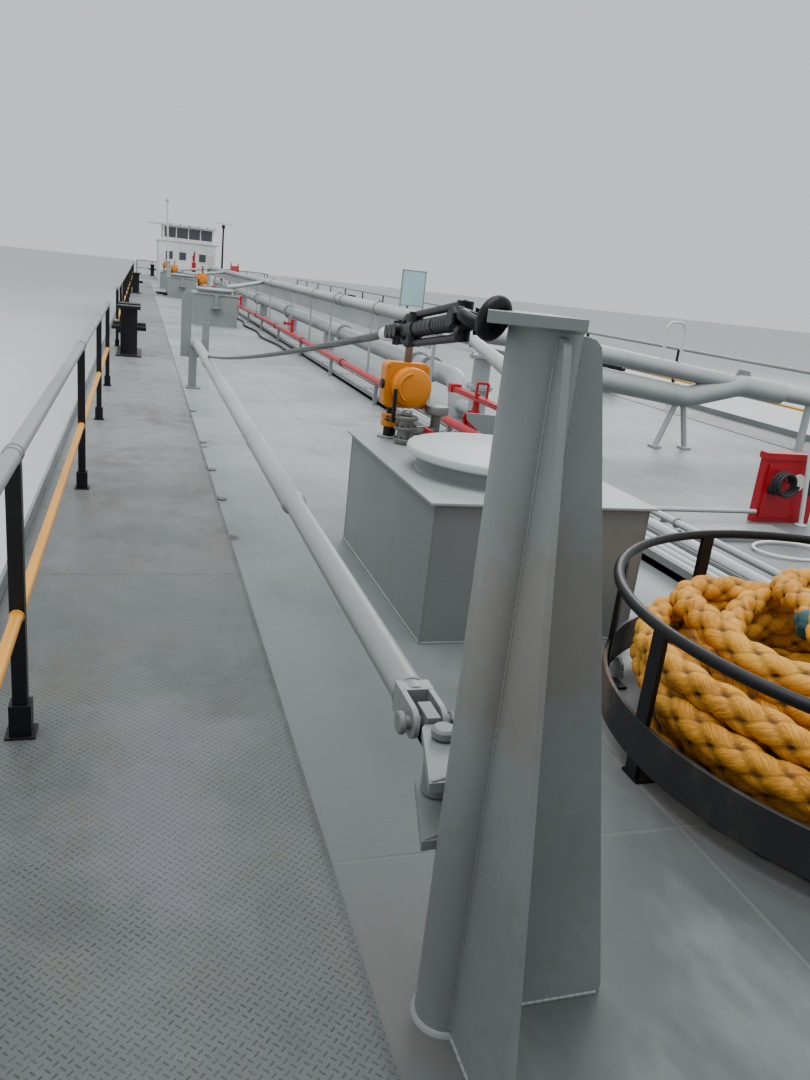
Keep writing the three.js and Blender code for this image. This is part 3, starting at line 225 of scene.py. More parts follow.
deck = {
    "grey": (0.335, 0.365, 0.368), "dark": (0.27, 0.3, 0.302), "pale": (0.385, 0.42, 0.425),
    "side": (0.035, 0.04, 0.045), "bottom": (0.16, 0.035, 0.025), "waterline": 0.5,
    "seam": (0.13, 0.135, 0.13), "seamPitch": 3.0, "seamOffset": 1.35,
    # dirt all over: colour, depth, the noise's scale, detail, stretch and roughness, and the two levels between
    # which it comes to show
    "dirt": [((0.07, 0.078, 0.077), 0.4, 2.3, 6, (1, 1, 1), 0.68, 0.48, 0.72),
             ((0.36, 0.4, 0.4), 0.3, 1.5, 5, (1, 1.8, 1), 0.6, 0.5, 0.72),
             ((0.16, 0.125, 0.09), 0.5, 3.1, 6, (0.6, 1.6, 1), 0.7, 0.62, 0.8)],
    # single stains: x, y, radius, depth, colour
    "stains": [(15.22, -1.9, 0.2, 0.4, (0.1, 0.095, 0.08)), (13.55, -1.3, 0.5, 0.3, (0.11, 0.1, 0.08)),
               (14.7, -0.95, 0.6, 0.45, (0.08, 0.07, 0.06)), (13.02, -0.43, 0.1, 0.9, (0.1, 0.04, 0.015)),
               (12.98, -1.96, 0.035, 0.9, (0.03, 0.03, 0.028)), (12.55, -1.955, 0.03, 0.9, (0.03, 0.03, 0.028)),
               (13.45, -1.95, 0.04, 0.9, (0.04, 0.038, 0.03)), (12.1, -1.94, 0.03, 0.8, (0.05, 0.045, 0.035))],
}


def addDirt(made, base, rows):
    # each row of dirt laid over the last
    for color, depth, scale, detail, stretch, roughness, low, high in rows:
        mask = made.noise(scale, detail, stretch, roughness=roughness).smooth(low, high)
        base = made.blendColors(mask * depth, base, color)
    return base


def deckFinish():
    # the hull: deck paint above, dark sides and red-brown below the water; welded seams cross the deck
    made = Finish("deckPaint", deck["grey"], 0.4)
    x, y, z = made.parts()
    broad = made.noise(0.9, 5)
    middle = made.noise(6, 5, roughness=0.65)
    base = made.blendColors(broad.smooth(0.32, 0.7), deck["dark"], deck["pale"])
    base = made.blendColors(middle.smooth(0.55, 0.8) * 0.35, base, (0.2, 0.215, 0.205))
    # painted shade: darker towards the foredeck, round the basket and to port
    base = made.blendColors(x.smooth(10.6, 15.0) * 0.88, base, (0.125, 0.142, 0.143))
    shadeNearBasket = 1 - (y + 1.6).math("ABSOLUTE").smooth(0.12, 0.8)
    base = made.blendColors(x.smooth(14.2, 15.3) * shadeNearBasket * 0.9, base, (0.058, 0.065, 0.067))
    base = made.blendColors(y.smooth(-1.3, 0.3) * 0.6, base, (0.125, 0.147, 0.15))
    base = addDirt(made, base, deck["dirt"])
    for stainX, stainY, radius, depth, shade in deck["stains"]:
        base = made.blendColors(made.spot(stainX, stainY, deckZ, radius, depth), base, shade)
    # seams across at even steps, and on two lines fore and aft
    along = (x / deck["seamPitch"]).math("FRACT").math("PINGPONG", 0.5) * deck["seamPitch"]
    across = (y.math("ABSOLUTE") - deck["seamOffset"]).math("ABSOLUTE")
    seam = 1 - along.math("MINIMUM", across).smooth(0.002, 0.006)
    base = made.blendColors(seam * 0.3, base, deck["seam"])
    side = 1 - z.smooth(deckZ - 0.02, deckZ - 0.005)
    base = made.blendColors(side, base, deck["side"])
    base = made.blendColors(1 - z.smooth(deck["waterline"], deck["waterline"] + 0.02), base, deck["bottom"])
    made.set("Base Color", base)
    made.set("Roughness", broad * 0.2 + middle * 0.2 + 0.24 + side * 0.15)
    made.bump(seam * 2.0 + made.noise(60, 3) * 0.5 + made.noise(5, 3) * 2.0, 0.3, 0.002)
    return made


tread = {
    # lozenges: their pitch, the cosine of the lattice's turn, and how slim they are lengthwise and across
    "pitch": 0.0104, "slant": 0.7071, "slim": (2.3, 8),
    "butts": (13.79, 11.75), "edgeStarboard": 1.955, "edgePort": 2.055,
    "dirt": [((0.045, 0.052, 0.045), 0.5, 2.6, 6, (1, 1, 1), 0.7, 0.46, 0.66),
             ((0.2, 0.2, 0.235), 0.3, 1.9, 5, (1, 1, 1), 0.6, 0.5, 0.66),
             ((0.11, 0.105, 0.065), 0.35, 3.4, 5, (1, 1.7, 1), 0.7, 0.5, 0.68),
             ((0.13, 0.1, 0.07), 0.45, 4, 6, (1, 1, 1), 0.7, 0.63, 0.78)],
}


def treadFinish(starboard):
    # tread plate: a lattice turned by 45 degrees, with a raised lozenge in each cell, lengthwise and crosswise by
    # turns; the lozenges painted dark, partly soot and partly painted shade, butt seams across and a dark inner
    # edge
    made = Finish("treadPlate", (0.25, 0.265, 0.26), 0.45)
    x, y = made.parts()[:2]
    perCell = tread["slant"] / tread["pitch"]
    cellX, cellY = (x + y) * perCell, (x - y) * perCell
    odd = (cellX.math("FLOOR") + cellY.math("FLOOR")).math("MODULO", 2.0).math("ABSOLUTE")
    u = cellX.math("FRACT") - 0.5
    v = cellY.math("FRACT") - 0.5
    long = u * (1 - odd) + v * odd
    wide = v * (1 - odd) + u * odd
    long, wide = long * tread["slim"][0], wide * tread["slim"][1]
    lozenge = 1 - (long * long + wide * wide).smooth(0.45, 0.9)
    broad = made.noise(1.3, 5)
    patchy = made.noise(11, 5, roughness=0.65)
    base = made.blendColors(broad.smooth(0.3, 0.7), (0.2, 0.215, 0.21), (0.29, 0.31, 0.305))
    base = made.blendColors(patchy.smooth(0.5, 0.75) * 0.4, base, (0.15, 0.155, 0.145))
    # painted shade: darker towards the foredeck
    base = made.blendColors(x.smooth(11.0, 15.0) * 0.85, base, (0.062, 0.071, 0.071))
    darkPatches = made.noise(5.5, 6, roughness=0.75).smooth(0.42, 0.66)
    single = made.noise(48, 2).smooth(0.4, 0.6)
    # the raised lozenges painted dark: soot together with painted shade
    base = made.blendColors(lozenge * (single * (darkPatches * 0.5 + 0.3) + 0.2), base, (0.022, 0.025, 0.025))
    base = addDirt(made, base, tread["dirt"])
    first, second = ((x - place).math("ABSOLUTE") for place in tread["butts"])
    butt = 1 - first.math("MINIMUM", second).smooth(0.002, 0.0045)
    base = made.blendColors(butt * 0.6, base, (0.07, 0.075, 0.07))
    edge = 1 - (y.math("ABSOLUTE") - tread["edgeStarboard" if starboard else "edgePort"]).smooth(0.0, 0.012)
    base = made.blendColors(edge * (darkPatches * 0.4 + 0.45), base, (0.045, 0.05, 0.05))
    made.set("Base Color", base)
    made.set("Roughness", patchy * 0.3 + 0.3 - lozenge * 0.06)
    made.bump(lozenge * 3.0 + made.noise(120, 2) * 0.3 - butt * 2, 0.8, 0.0012)
    return made


def ropeFinish():
    # fibres run along each strand; the hollows between strands are darker and redder with painted shade, the end is
    # dipped blue-green
    made = Finish("ropeYarn", (0.8, 0.36, 0.015), 0.7)
    u, v, _ = made.parts(made.place("UV"))
    hollow = made.node("ShaderNodeAttribute", {"attribute_name": "hollow"}, {}, "Fac")
    hand = made.node("ShaderNodeAttribute", {"attribute_name": "hand"}, {}, "Fac")
    lays = u / (rope["lay"] * rope["diameter"] * half)
    turnsRound = v * rope["columns"]
    lean = hand * 2 - 1
    across, along = (turnsRound + lays * lean) * 17, (turnsRound - lays * lean) * 1.3
    lines = made.node("ShaderNodeCombineXYZ", {}, {0: across, 1: along, 2: hand * 7})
    fibre = made.noise(1.0, 4, vector=lines, roughness=0.72)
    broad = made.noise(7, 3)
    base = made.blendColors(fibre.smooth(0.32, 0.68), (0.36, 0.12, 0.003), (0.8, 0.36, 0.012))
    base = made.blendColors(broad.smooth(0.4, 0.7) * 0.4, base, (0.92, 0.52, 0.06))
    odd = made.noise(1.0, 2, vector=made.scaled(lines, (0.5, 0.8, 1))) > 0.7
    base = made.blendColors(odd * 0.35, base, (0.16, 0.05, 0.075))
    # painted shade in the hollows between the strands
    base = made.blendColors(hollow.smooth(0.3, 0.85) * 0.95, base, (0.045, 0.012, 0.003))
    base = made.blendColors(u > rope["length"] - rope["dipped"], base, (0.015, 0.09, 0.1))
    made.set("Base Color", base)
    made.set("Roughness", fibre * 0.25 + 0.5)
    made.bump(fibre * 1.5 + broad * 0.4, 0.8, 0.0018)
    return made


# surfaces: each part is a grid of points with its faces
def part(points, faces, slot=0, **fields):
    return {"points": np.asarray(points, float), "faces": faces, "slot": slot, "fields": fields}


def gridFaces(rows, columns, closed=True):
    # corner indices of a grid, wrapped round its columns when closed
    i, j = np.meshgrid(np.arange(rows - 1), np.arange(columns if closed else columns - 1), indexing="ij")
    nextJ = (j + 1) % columns
    corners = [i * columns + j, i * columns + nextJ, (i + 1) * columns + nextJ, (i + 1) * columns + j]
    return np.stack(corners, -1).reshape(-1, 4)


def cappedFaces(rows, sides):
    # a closed tube's grid with a face over each end
    rim = np.arange(sides)
    return [gridFaces(rows, sides), rim[None, ::-1], (rim + (rows - 1) * sides)[None]]


def evenly(count, start=0.0):
    # angles at even steps round a circle
    return np.linspace(start, start + 2 * np.pi, count, endpoint=False)


def unit(vectors):
    return vectors / np.linalg.norm(vectors, axis=-1, keepdims=True)


def tubeOn(path, radius, sides=24, slot=0):
    # circle of the radius carried along the path, its frame kept square to the path's flattest direction
    path = np.asarray(path, float)
    radius = np.broadcast_to(np.asarray(radius, float), len(path))
    ahead = unit(np.gradient(path, axis=0))
    middle = path - path.mean(0)
    flat = np.linalg.svd(middle, full_matrices=False)[2][-1]
    if np.abs(ahead @ flat).max() > 0.95:
        flat = np.array([0.577, 0.577, 0.577])
    side = unit(flat - (ahead @ flat)[:, None] * ahead)
    other = np.cross(ahead, side)
    angle = evenly(sides)
    ring = np.cos(angle)[None, :, None] * side[:, None] + np.sin(angle)[None, :, None] * other[:, None]
    points = (path[:, None] + ring * radius[:, None, None]).reshape(-1, 3)
    return part(points, cappedFaces(len(path), sides), slot=slot)


def sweep(path, radii, **fields):
    # radii holds a radius for each point of the path and each angle: point + (cos a side + sin a up) * radius
    ahead = unit(np.gradient(path, axis=0))
    side = unit(np.cross(ahead, axisZ))
    above = np.cross(side, ahead)
    angle = evenly(radii.shape[1])
    ring = np.cos(angle)[None, :, None] * side[:, None] + np.sin(angle)[None, :, None] * above[:, None]
    points = path[:, None] + ring * radii[:, :, None]
    return part(points.reshape(-1, 3), cappedFaces(*radii.shape), **fields)


def bowed(start, pull, end, count):
    # a curve from start to end that leans towards the pull point: s (1 - t)^2 + 2 p t (1 - t) + e t^2
    t = np.linspace(0, 1, count)[:, None]
    return start * (1 - t) ** 2 + pull * 2 * t * (1 - t) + end * t ** 2


def rod(start, end, radius, sides=20, slot=0, endRadius=None):
    return tubeOn([start, end], [radius, radius if endRadius is None else endRadius], sides, slot)


def rounded(corners, bend, cuts=6):
    # a route of straight runs; each corner becomes an arc of the bend's radius, tangent to both runs
    corners = [np.asarray(c, float) for c in corners]
    route = [corners[0][None]]
    for before, here, after in zip(corners, corners[1:], corners[2:]):
        into, out = unit(here - before), unit(after - here)
        turn = math.acos(float(np.clip(into @ out, -1, 1)))
        if turn < 1e-4:
            continue
        inward = unit(out - into * (into @ out))
        start = here - into * bend * math.tan(turn / 2)
        angle = np.linspace(0, turn, cuts + 1)[:, None]
        route.append(start + into * bend * np.sin(angle) + inward * bend * (1 - np.cos(angle)))
    route.append(corners[-1][None])
    return np.concatenate(route)


def turned(profile, origin, axis=axisZ, sides=40, slot=0):
    # profile of (radius, height) turned about the axis through the origin
    axis = unit(np.asarray(axis, float))
    side = unit(np.cross(axis, axisX if abs(axis[0]) < 0.9 else axisY))
    other = np.cross(axis, side)
    profile = np.asarray(profile, float)
    angle = evenly(sides)
    ring = np.cos(angle)[:, None] * side + np.sin(angle)[:, None] * other
    points = np.asarray(origin, float) + profile[:, 0, None, None] * ring + profile[:, 1, None, None] * axis
    return part(points.reshape(-1, 3), [gridFaces(len(profile), sides)], slot=slot)


def disc(origin, axis, radius, thickness, rim=0.004, sides=32, slot=0):
    # a round plate or flange with a small round on its rims
    profile = [(0, 0), (radius - rim, 0), (radius, rim), (radius, thickness - rim), (radius - rim, thickness),
               (0, thickness)]
    return turned(profile, origin, axis, sides, slot)


def torus(origin, major, minor, axis=axisZ, rings=72, sides=14, span=(0, 2 * np.pi), slot=0):
    # circle of the minor radius carried round the major one, over the span of angles
    axis = unit(np.asarray(axis, float))
    side = unit(np.cross(axis, axisX if abs(axis[0]) < 0.9 else axisY))
    other = np.cross(axis, side)
    angle = np.linspace(span[0], span[1], rings + 1)
    path = np.asarray(origin, float) + major * (np.cos(angle)[:, None] * side + np.sin(angle)[:, None] * other)
    return tubeOn(path, minor, sides, slot)


def slab(outline, plane, low, high, slot=0):
    # a flat outline given thickness; the plane names the outline's two directions
    flat = np.asarray(outline, float)
    order = {"xy": (0, 1, 2), "xz": (0, 2, 1), "yz": (1, 2, 0)}[plane]
    count = len(flat)
    points = np.zeros((2 * count, 3))
    for level, start in ((low, 0), (high, count)):
        points[start:start + count, order[0]] = flat[:, 0]
        points[start:start + count, order[1]] = flat[:, 1]
        points[start:start + count, order[2]] = level
    i = np.arange(count)
    walls = np.stack([i, (i + 1) % count, (i + 1) % count + count, i + count], -1)
    return part(points, [i[None, ::-1], (i + count)[None], walls], slot=slot)


def brick(x, y, z, slot=0):
    # x, y and z each give a low and a high value
    return slab([(x[0], y[0]), (x[1], y[0]), (x[1], y[1]), (x[0], y[1])], "xy", z[0], z[1], slot)


def block(x, y, wideX, wideY, z, slot=0):
    # a brick about x, y, reaching wideX and wideY to each side
    return brick((x - wideX, x + wideX), (y - wideY, y + wideY), z, slot)


def bead(start, end, radius, slot=0):
    # weld bead: a thin tube whose radius ripples with each deposit
    start, end = np.asarray(start, float), np.asarray(end, float)
    span = np.linalg.norm(end - start)
    t = np.linspace(0, 1, max(8, int(span / 0.006)))
    ripple = radius * (1 + 0.22 * np.sin(t * span / 0.011 * np.pi) + 0.12 * np.sin(t * span / 0.071 + 1.3))
    return tubeOn(start + (end - start) * t[:, None], ripple, 8, slot)


def ringBead(origin, major, radius, axis=axisZ, slot=0):
    return torus(origin, major, radius, axis, rings=96, sides=8, slot=slot)


def putMesh(name, parts, finishes, bevel=0.0, toModel=True):
    # joins the parts into one mesh, closes its seams and poles and turns its faces outwards
    points, loops, sizes, slots = [], [], [], []
    offset = 0
    for piece in parts:
        points.append(piece["points"])
        for faces in piece["faces"]:
            faces = np.asarray(faces)
            loops.append((faces + offset).ravel())
            sizes.append(np.full(len(faces), faces.shape[1]))
            slots.append(np.full(len(faces), piece["slot"]))
        offset += len(piece["points"])
    points, loops, sizes = np.concatenate(points), np.concatenate(loops), np.concatenate(sizes)
    mesh = bpy.data.meshes.new(name)
    mesh.vertices.add(len(points))
    mesh.vertices.foreach_set("co", (inModel(points) if toModel else points).ravel())
    mesh.loops.add(len(loops))
    mesh.loops.foreach_set("vertex_index", loops.astype(np.int32))
    mesh.polygons.add(len(sizes))
    mesh.polygons.foreach_set("loop_start", np.concatenate([[0], np.cumsum(sizes)[:-1]]).astype(np.int32))
    mesh.polygons.foreach_set("material_index", np.concatenate(slots).astype(np.int32))
    mesh.update(calc_edges=True)
    for key in parts[0]["fields"]:
        values = np.concatenate([piece["fields"][key].ravel() for piece in parts])
        mesh.attributes.new(key, "FLOAT", "POINT").data.foreach_set("value", values.astype(np.float32))
    return finishMesh(name, mesh, finishes, bevel)


def finishMesh(name, mesh, finishes, bevel):
    # merged, faces outwards, smooth but for edges sharper than 38 degrees; the bevel is in full-size metres
    shell = bmesh.new()
    shell.from_mesh(mesh)
    bmesh.ops.remove_doubles(shell, verts=shell.verts, dist=2e-6)
    bmesh.ops.recalc_face_normals(shell, faces=shell.faces)
    shell.to_mesh(mesh)
    shell.free()
    mesh.polygons.foreach_set("use_smooth", np.ones(len(mesh.polygons), bool))
    mesh.set_sharp_from_angle(angle=math.radians(38))
    for finish in finishes:
        mesh.materials.append(finish.material)
    made = bpy.data.objects.new(name, mesh)
    bpy.context.scene.collection.objects.link(made)
    if bevel:
        edge = made.modifiers.new("edge", "BEVEL")
        edge.width, edge.segments, edge.limit_method = bevel * half, 2, "ANGLE"
        edge.angle_limit = math.radians(42)
        edge.harden_normals = True
    return made


def stand(made, body="barge", replaces=()):
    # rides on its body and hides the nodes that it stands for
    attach(made, body)
    if replaces:
        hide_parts(*replaces)
    return made


# mooring rope
rope = {
    "centre": (29.74, -1.57), "diameter": 0.106, "lay": 1.6, "columns": 3, "dipped": 0.22,
    "sides": 26, "stepsPerDiameter": 6.5,
    # each turn: radius and height of its middle line, how far its centre is off the basket's, in which direction
    "turns": [(1.0, 0.06, 0, 0), (0.84, 0.06, 0, 0), (0.68, 0.06, 0, 0),
              (0.76, 0.165, 0, 0), (0.92, 0.17, 0, 0), (1.0, 0.265, 0, 0),
              (0.84, 0.275, 0.02, 40), (0.69, 0.28, 0.03, 160), (0.9, 0.375, 0.08, 250),
              (0.72, 0.385, 0.12, 20), (0.68, 0.455, 0.28, 190), (0.62, 0.5, 0.28, 75), (0.62, 0.5, 0.28, 75)],
}


def ropePath():
    # the turns one after another: over its last third each slides to the next one's radius, height and centre,
    # and slow waves loosen it more from turn to turn; returned at even steps, with the length up to each point
    table = np.array(rope["turns"])
    angle = np.linspace(0, 2 * np.pi * (len(table) - 1.02), 6000)
    turn = angle / (2 * np.pi)
    k = np.minimum(turn.astype(int), len(table) - 2)
    f = np.clip((turn - k - 0.62) / 0.38, 0, 1)
    f = (f * f * (3 - 2 * f))[:, None]
    lean = np.radians(table[:, 3])
    rows = np.column_stack([table[:, 0], table[:, 1], table[:, 2] * np.cos(lean), table[:, 2] * np.sin(lean)])
    radius, height, offX, offY = (rows[k] * (1 - f) + rows[k + 1] * f).T
    loose = np.clip(turn / 9, 0.15, 1)
    waves = 0.022 * np.sin(3 * angle + 1.1 * turn) + 0.014 * np.sin(5 * angle + 2.3 * turn + 0.6)
    radius = radius + loose * waves
    height = height + loose * (0.014 * np.sin(2.4 * angle + 0.7) + 0.01 * np.sin(5.3 * angle + 1.9 * turn))
    radius = np.minimum(radius, 1.045 - np.hypot(offX, offY) * 0.98)
    x = rope["centre"][0] + offX + radius * np.cos(angle - 1.9)
    y = rope["centre"][1] + offY + radius * np.sin(angle - 1.9)
    path = inModel(np.column_stack([x, y, height]))
    length = np.concatenate([[0], np.cumsum(np.linalg.norm(np.diff(path, axis=0), axis=1))])
    step = rope["diameter"] * half / rope["stepsPerDiameter"]
    even = np.linspace(0, length[-1], int(length[-1] / step))
    return np.column_stack([np.interp(even, length, path[:, i]) for i in range(3)]), even


def plait(u, v):
    # height of a plait: half the strands wind each way, over one and under the next, so the height is the larger
    # of crown(a) + 0.55 cos and crown(b) - 0.55 cos, with a, b = columns * v +- u; u in lays, v in turns round
    a, b = rope["columns"] * v + u, rope["columns"] * v - u
    i, j = np.floor(a), np.floor(b)

    def crown(phase):
        # a round strand with the shallow groove between its two yarn bundles
        across = 2 * (phase - np.floor(phase)) - 1
        return np.sqrt(np.clip(1 - 0.95 * across ** 2, 0, 1)) * (1 - 0.12 * np.exp(-(across / 0.12) ** 2))

    first = crown(a) + 0.55 * np.cos(np.pi * (b - 0.5 + i))
    second = crown(b) - 0.55 * np.cos(np.pi * (a - 0.5 + j))
    return np.maximum(first, second), (first > second).astype(float)


def makeRope(finish, path, along):
    # tube whose radius follows the plait's height: 0.7 of the rope's radius in the hollows, 1.24 on the crowns
    sides, radius = rope["sides"], rope["diameter"] * half / 2
    angle = evenly(sides)
    u, v = np.meshgrid(along / (rope["lay"] * radius * 2), angle / (2 * np.pi), indexing="ij")
    height, hand = plait(u, v)
    swell = np.clip((height - 0.25) / 1.2, 0, 1)
    tipped = np.minimum(1, np.minimum(along, along[-1] - along) / radius + 0.35)[:, None]
    body = sweep(path, radius * (0.7 + 0.54 * swell) * tipped, hollow=1 - swell, hand=hand)
    made = putMesh("mooring_rope_plaited", [body], [finish], toModel=False)
    # UV: metres along, turns round
    mesh = made.data
    uv = mesh.uv_layers.new(name="rope")
    corner = np.zeros(len(mesh.loops), np.int32)
    mesh.loops.foreach_get("vertex_index", corner)
    turns = (corner % sides) / sides
    around = turns[:4 * (len(path) - 1) * sides].reshape(-1, 4)
    around[(around == 0) & (np.ptp(around, axis=1) > 0.5)[:, None]] = 1   # the last column ends a full turn on
    uv.data.foreach_set("uv", np.column_stack([along[corner // sides], turns]).astype(np.float32).ravel())
    stand(made, replaces=["mooring_rope"])


ropeCourse, ropeAlong = ropePath()
rope["length"] = float(ropeAlong[-1])
makeRope(ropeFinish(), ropeCourse, ropeAlong)
print("rope laid:", round(rope["length"], 2), "m")

# finishes of the pieces
brownStain = (0.17, 0.11, 0.06)
gearPaint = paintFinish("gearPaint", (0.27, 0.29, 0.285), 0.42, nearShade=0.8, undersideShade=0.4)
postPaint = paintFinish("postPaint", (0.2, 0.22, 0.218), 0.42, patch=0.07, stains=[
    (15.33, -1.83, 2.3, 0.16, 0.3, brownStain), (15.3, -1.85, 1.95, 0.2, 0.3, (0.11, 0.105, 0.09))])
boomPaint = paintFinish("boomPaint", (0.42, 0.45, 0.44), 0.36, patch=0.06, grime=0.2, nearShade=1.0, undersideShade=0.55)
pipePaint = paintFinish("pipePaint", (0.45, 0.48, 0.485), 0.36, patch=0.06, grime=0.22, undersideShade=0.75)
lidPaint = paintFinish("lidPaint", (0.42, 0.46, 0.46), 0.38, patch=0.06, grime=0.2)
coverPaint = paintFinish("coverPaint", (0.3, 0.33, 0.33), 0.4, patch=0.08, grime=0.35)
blackPaint = paintFinish("blackPaint", (0.005, 0.0053, 0.006), 0.42, patch=0.3, grime=0.04, speckle=0.1)
blackPaint.set("Specular IOR Level", 0.3)
railYellow = paintFinish("railYellow", (0.75, 0.33, 0.015), 0.42, grime=0.2)
railGrey = paintFinish("railGrey", (0.26, 0.28, 0.28), 0.4)
orangePaint = paintFinish("orangePaint", (0.74, 0.235, 0.004), 0.4, patch=0.08, grime=0.18, speckle=0.25,
                          undersideShade=0.4)
orangePaint.set("Specular IOR Level", 0.35)
redPaint = paintFinish("redPaint", (0.46, 0.01, 0.02), 0.36, patch=0.08, grime=0.15, speckle=0.25, undersideShade=0.35)
redPaint.set("Specular IOR Level", 0.35)
darkRed = paintFinish("darkRed", (0.2, 0.006, 0.012), 0.4)
whitePaint = paintFinish("whitePaint", (0.72, 0.74, 0.72), 0.42, patch=0.05, grime=0.25, speckle=0.3)
bareSteel = paintFinish("bareSteel", (0.24, 0.24, 0.22), 0.38, patch=0.2, grime=0.3)
bareSteel.set("Metallic", 0.7)
bronze = paintFinish("bronze", (0.42, 0.29, 0.12), 0.4, patch=0.15, grime=0.3)
bronze.set("Metallic", 0.8)
wireGrease = paintFinish("wireGrease", (0.03, 0.03, 0.03), 0.4, patch=0.2)
rubber = paintFinish("rubber", (0.015, 0.015, 0.016), 0.6, patch=0.2)
brownPipe = paintFinish("brownPipe", (0.14, 0.09, 0.055), 0.5, patch=0.2)
labelWhite = paintFinish("labelWhite", (0.8, 0.8, 0.77), 0.5, patch=0.03, grime=0.1, speckle=0.1)
glass = Finish("windowGlass", (0.03, 0.04, 0.05), 0.08, Coat_Weight=0.6)
deckPaint = deckFinish()
print("finishes made")

# derrick
post = {"x": 30.556, "y": -3.744, "radius": 0.07, "height": 1.599, "plate": 0.016, "bead": 0.0035,
        "foreFin": (0.375, 0.085), "portFin": (0.41, 0.1), "finShift": 0.013, "shelves": (0.435, 0.585),
        "shelfAft": 0.286, "shelfThick": 0.025}
boom = {"pin": 30.212, "y": -3.744, "z": 0.585, "step": 28.16, "tip": 20.37, "heel": 0.047, "tube": 0.058,
        "band": 22.6}
capEdges = {"aft": 0.05, "fore": 0.1, "starboard": 0.159, "aftStarboard": 0.1, "port": 0.031, "thickness": 0.02}
topping = {"crown": 30.47, "fore": 30.43, "aft": 30.117, "end": 29.856, "slope": (0.014, -0.13), "lays": 50.4}


def makePost():
    x, y, r, h, thin = post["x"], post["y"], post["radius"], post["height"], post["bead"]
    thick, portX = post["plate"] / 2, x + post["finShift"]

    def fin(foot, head):
        # a fin's side view: long foot, straight sloping edge, top corner rounded
        corner = [(head + 0.015, h - 0.05), (head + 0.009, h - 0.028), (head - 0.004, h - 0.016),
                  (head - 0.02, h - 0.012)]
        return [(0, 0.001), (foot, 0.001), (foot, 0.03), *corner, (0, h - 0.012)]

    def shelf(z):
        aft = x - post["shelfAft"]
        starboard = [(x - 0.04, -0.095), (aft + 0.012, -0.037), (aft, -0.026)]
        outline = [(u, y + v) for u, v in starboard] + [(u, y - v) for u, v in starboard[::-1]]
        return slab(outline, "xy", z, z + post["shelfThick"])

    cap = [(x + capEdges["fore"], y - capEdges["starboard"]), (x + capEdges["fore"], y + capEdges["port"]),
           (x - capEdges["aft"], y + capEdges["port"]), (x - capEdges["aft"], y - capEdges["aftStarboard"])]
    parts = [
        rod((x, y, 0.001), (x, y, h), r, 48),
        slab(cap, "xy", h - 0.001, h + capEdges["thickness"]),
        slab([(x + u, v) for u, v in fin(*post["foreFin"])], "xz", y - thick, y + thick),
        slab([(y + u, v) for u, v in fin(*post["portFin"])], "yz", portX - thick, portX + thick),
        *[shelf(z) for z in post["shelves"]],
        turned([(r + 0.01, 0), (r + 0.006, 0.008), (r - 0.002, 0.012)], (x, y, 0)),
        ringBead((x, y, h - 0.003), r, 0.004),
    ]
    # welds up each side of both fins and along their feet, then at the shelves
    for side in (-thick, thick):
        foreY, besideX, root = y + side, portX + side, r * 0.98
        parts += [bead((x + root, foreY, 0.02), (x + root, foreY, h - 0.02), thin),
                  bead((besideX, y + root, 0.02), (besideX, y + root, h - 0.02), thin),
                  bead((x + 0.06, foreY, 0.003), (x + post["foreFin"][0] - 0.01, foreY, 0.003), 0.005),
                  bead((besideX, y + 0.06, 0.003), (besideX, y + post["portFin"][0] - 0.01, 0.003), 0.005)]
    for z in post["shelves"]:
        for level in (z, z + post["shelfThick"]):
            parts.append(bead((x - 0.045, y - 0.088, level), (x - 0.064, y - 0.02, level), 0.004))
            parts.append(bead((x - 0.064, y + 0.02, level), (x - 0.045, y + 0.088, level), 0.004))
    stand(putMesh("derrick_post_welded", parts, [postPaint], 0.003),
          replaces=["derrick_post"])


def makeGooseneck():
    x, y, z, pin = post["x"] - 0.221, boom["y"], boom["z"], boom["pin"]
    low, high = (level + 0.0006 for level in post["shelves"])
    low += post["shelfThick"]
    high -= 0.0012
    parts = [
        disc((x, y, low), axisZ, 0.04, high - low, 0.004, 32),
        brick((pin - 0.034, post["x"] - post["shelfAft"] - 0.006), (y - 0.018, y + 0.018),
              (z - 0.05, z + 0.038)),
        brick((pin, x), (y - 0.018, y + 0.018), (z - 0.05, high)),
        disc((pin, y - 0.066, z), axisY, 0.018, 0.132, 0.002, 24),
        disc((pin, y - 0.078, z), axisY, 0.03, 0.018, 0.004, 24),
        disc((pin, y + 0.06, z), axisY, 0.027, 0.014, 0.004, 6),
        disc((x, y, high + post["shelfThick"] + 0.0012), axisZ, 0.031, 0.03, 0.007, 32),
        rod((x, y, post["shelves"][0] - 0.03), (x, y, high + 0.04), 0.0195, 20),
        disc((x, y, post["shelves"][0] - 0.024), axisZ, 0.03, 0.022, 0.004, 6),
    ]
    stand(putMesh("gooseneck_pinned", parts, [gearPaint], 0.004), replaces=["gooseneck"])


